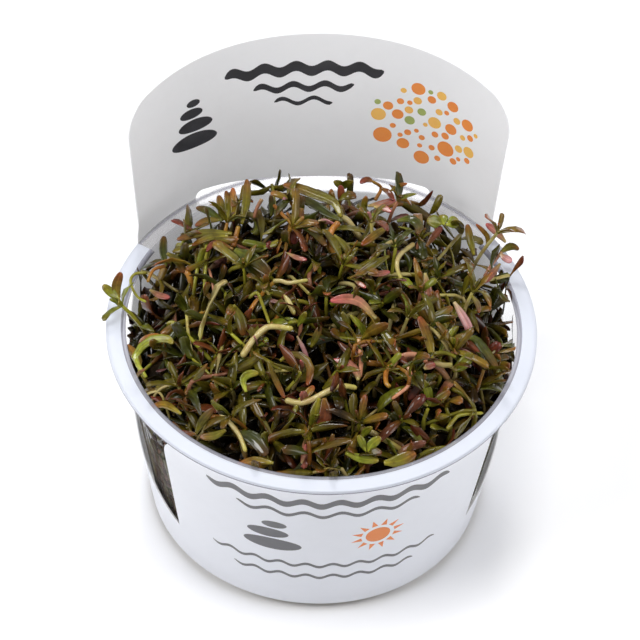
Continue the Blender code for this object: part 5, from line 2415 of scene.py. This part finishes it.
@dataclass(frozen=True)
class Studio:
    """A pale floor, soft light and the camera that sees what the photograph shows."""

    lens: float = 240.4
    distance: float = 1.0
    elevation: float = 0.839
    azimuth: float = math.radians(-4.6)
    roll: float = 0.045
    frame_side: float = 640.0
    sensor_width: float = 36.0
    rim_centre_px: Pair = (321.65, 325.5)
    find_rounds: int = 8
    floor_side: float = 6.0
    floor_color: Color = (0.96, 0.96, 0.97)
    floor_roughness: float = 0.9
    world_light: float = 0.30
    lights: tuple[Softbox, ...] = (
        Softbox("overhead_light", (-0.10, 0.0, 1.05), side=0.26, power=3.5),
        Softbox("back_light", (0.0, 0.67, 0.80), side=0.24, power=2.2),
        Softbox("left_softbox", (-0.78, -0.22, 0.68), side=0.6, power=6.1),
        Softbox("right_softbox", (0.78, -0.22, 0.64), side=0.6, power=4.2),
    )

    def view(self) -> Matrix:
        """The camera's place and aim. Its target is the middle of the rim.

        Returns:
            The camera's matrix.
        """
        flat = math.cos(self.elevation)
        side, front = math.sin(self.azimuth) * flat, -math.cos(self.azimuth) * flat
        away = Vector((side, front, math.sin(self.elevation)))
        spot = Matrix.Translation(Vector((0.0, 0.0, RIM_HEIGHT)) + away * self.distance)
        aim = (-away).to_track_quat("-Z", "Y").to_matrix().to_4x4()
        return spot @ aim @ Matrix.Rotation(self.roll, 4, "Z")

    def find(self, across: float, down: float, canopy: Canopy, lift: float) -> Array:
        """The point near the crown that the photograph shows at a pixel.

        Args:
            across: Pixels from the photograph's left edge.
            down: Pixels from its top edge.
            canopy: Knows how high the plants stand.
            lift: How far above the crown the point is.

        Returns:
            The point.
        """
        view = self.view()
        far = self.lens / self.sensor_width * self.frame_side
        middle_x, middle_y = self.rim_centre_px
        ray = view.to_3x3() @ Vector(((across - middle_x) / far, (middle_y - down) / far, -1.0))
        point = Vector((0.0, 0.0, RIM_HEIGHT))
        for _ in range(self.find_rounds):
            height = float(canopy.crown(point.x, point.y)) + lift
            point = view.translation + ray * ((height - view.translation.z) / ray.z)
        return np.array(point)

    def add_camera(self) -> None:
        """The camera."""
        data = bpy.data.cameras.new("camera")
        data.lens = self.lens
        middle = self.frame_side / 2
        data.shift_x = (middle - self.rim_centre_px[0]) / self.frame_side
        data.shift_y = (self.rim_centre_px[1] - middle) / self.frame_side
        camera = link_object("camera", data)
        camera.matrix_world = self.view()
        bpy.context.scene.camera = camera

    def add_floor(self) -> None:
        """A plain pale floor."""
        bm = bmesh.new()
        bmesh.ops.create_grid(bm, x_segments=1, y_segments=1, size=self.floor_side / 2)
        mesh = bpy.data.meshes.new("floor")
        bm.to_mesh(mesh)
        bm.free()
        material, graph, shader = start_material("pale_floor")
        feeds = {"Base Color": (*self.floor_color, 1.0), "Roughness": self.floor_roughness}
        graph.feed_all(shader, feeds)
        mesh.materials.append(material)
        floor = link_object("floor", mesh)
        floor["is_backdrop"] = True

    def add_world(self) -> None:
        """Even white surroundings."""
        world = bpy.data.worlds.new("studio")
        world.use_nodes = True
        graph = Graph(world.node_tree)
        feeds = {"Color": (1.0, 1.0, 1.0, 1.0), "Strength": self.world_light}
        background = graph.add("ShaderNodeBackground", feeds)
        graph.add("ShaderNodeOutputWorld", {"Surface": background.outputs[0]})
        bpy.context.scene.world = world

    def build(self) -> None:
        """Set up camera, floor and lights."""
        self.add_camera()
        self.add_floor()
        self.add_world()
        for light in self.lights:
            light.add()
        bpy.context.scene.view_settings.view_transform = "Standard"


HOLES_PX_AND_SIZE = (
    (327.0, 351.0, 0.0050),
    (319.0, 251.0, 0.0030),
    (474.0, 388.0, 0.0034),
    (238.0, 297.0, 0.0027),
    (393.0, 290.0, 0.0027),
    (465.0, 316.0, 0.0024),
    (338.0, 420.0, 0.0024),
    (284.0, 420.0, 0.0022),
)


class Tissue(Enum):
    """The finishes of leaves, of stems and of what stands in the shade behind the wall."""

    LEAF = WetTissue("rotala_leaf", (0.44, 0.32, 0.22), 0.7, roughness=0.34, coat=0.6, vein=0.32)
    STEM = WetTissue("rotala_stem", (0.62, 0.44, 0.36), 0.6, roughness=0.34, coat=0.5, vein=0.0)
    SHADED = WetTissue("rotala_in_shade", (0.43, 0.31, 0.17), 0.8, roughness=0.80, coat=0.0, vein=0.0)


def main() -> None:
    """Build every piece in order."""
    logging.basicConfig(level=logging.INFO, format="%(name)s: %(message)s")
    studio = Studio()
    studio.build()
    cup = Cup()
    cup.build()
    sleeve = Sleeve()
    sleeve.build(Print(sleeve).motifs())
    Gel(cup).build()
    leaf, stem, shaded = (tissue.value.material() for tissue in Tissue)
    canopy = Canopy(cup)
    canopy.holes = tuple((studio.find(x, y, canopy, 0.0), size) for x, y, size in HOLES_PX_AND_SIZE)
    Shoots(canopy, [leaf, stem]).build()
    Core(canopy).build()
    WallStems(canopy, [shaded, shaded]).build()
    Thicket(canopy, [leaf, stem]).build()
    Accents(canopy, [leaf, stem], studio).build()
    [[list(corner) for corner in box] for box in (CAD_BOX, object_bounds())]


if __name__ == "__main__":
    main()
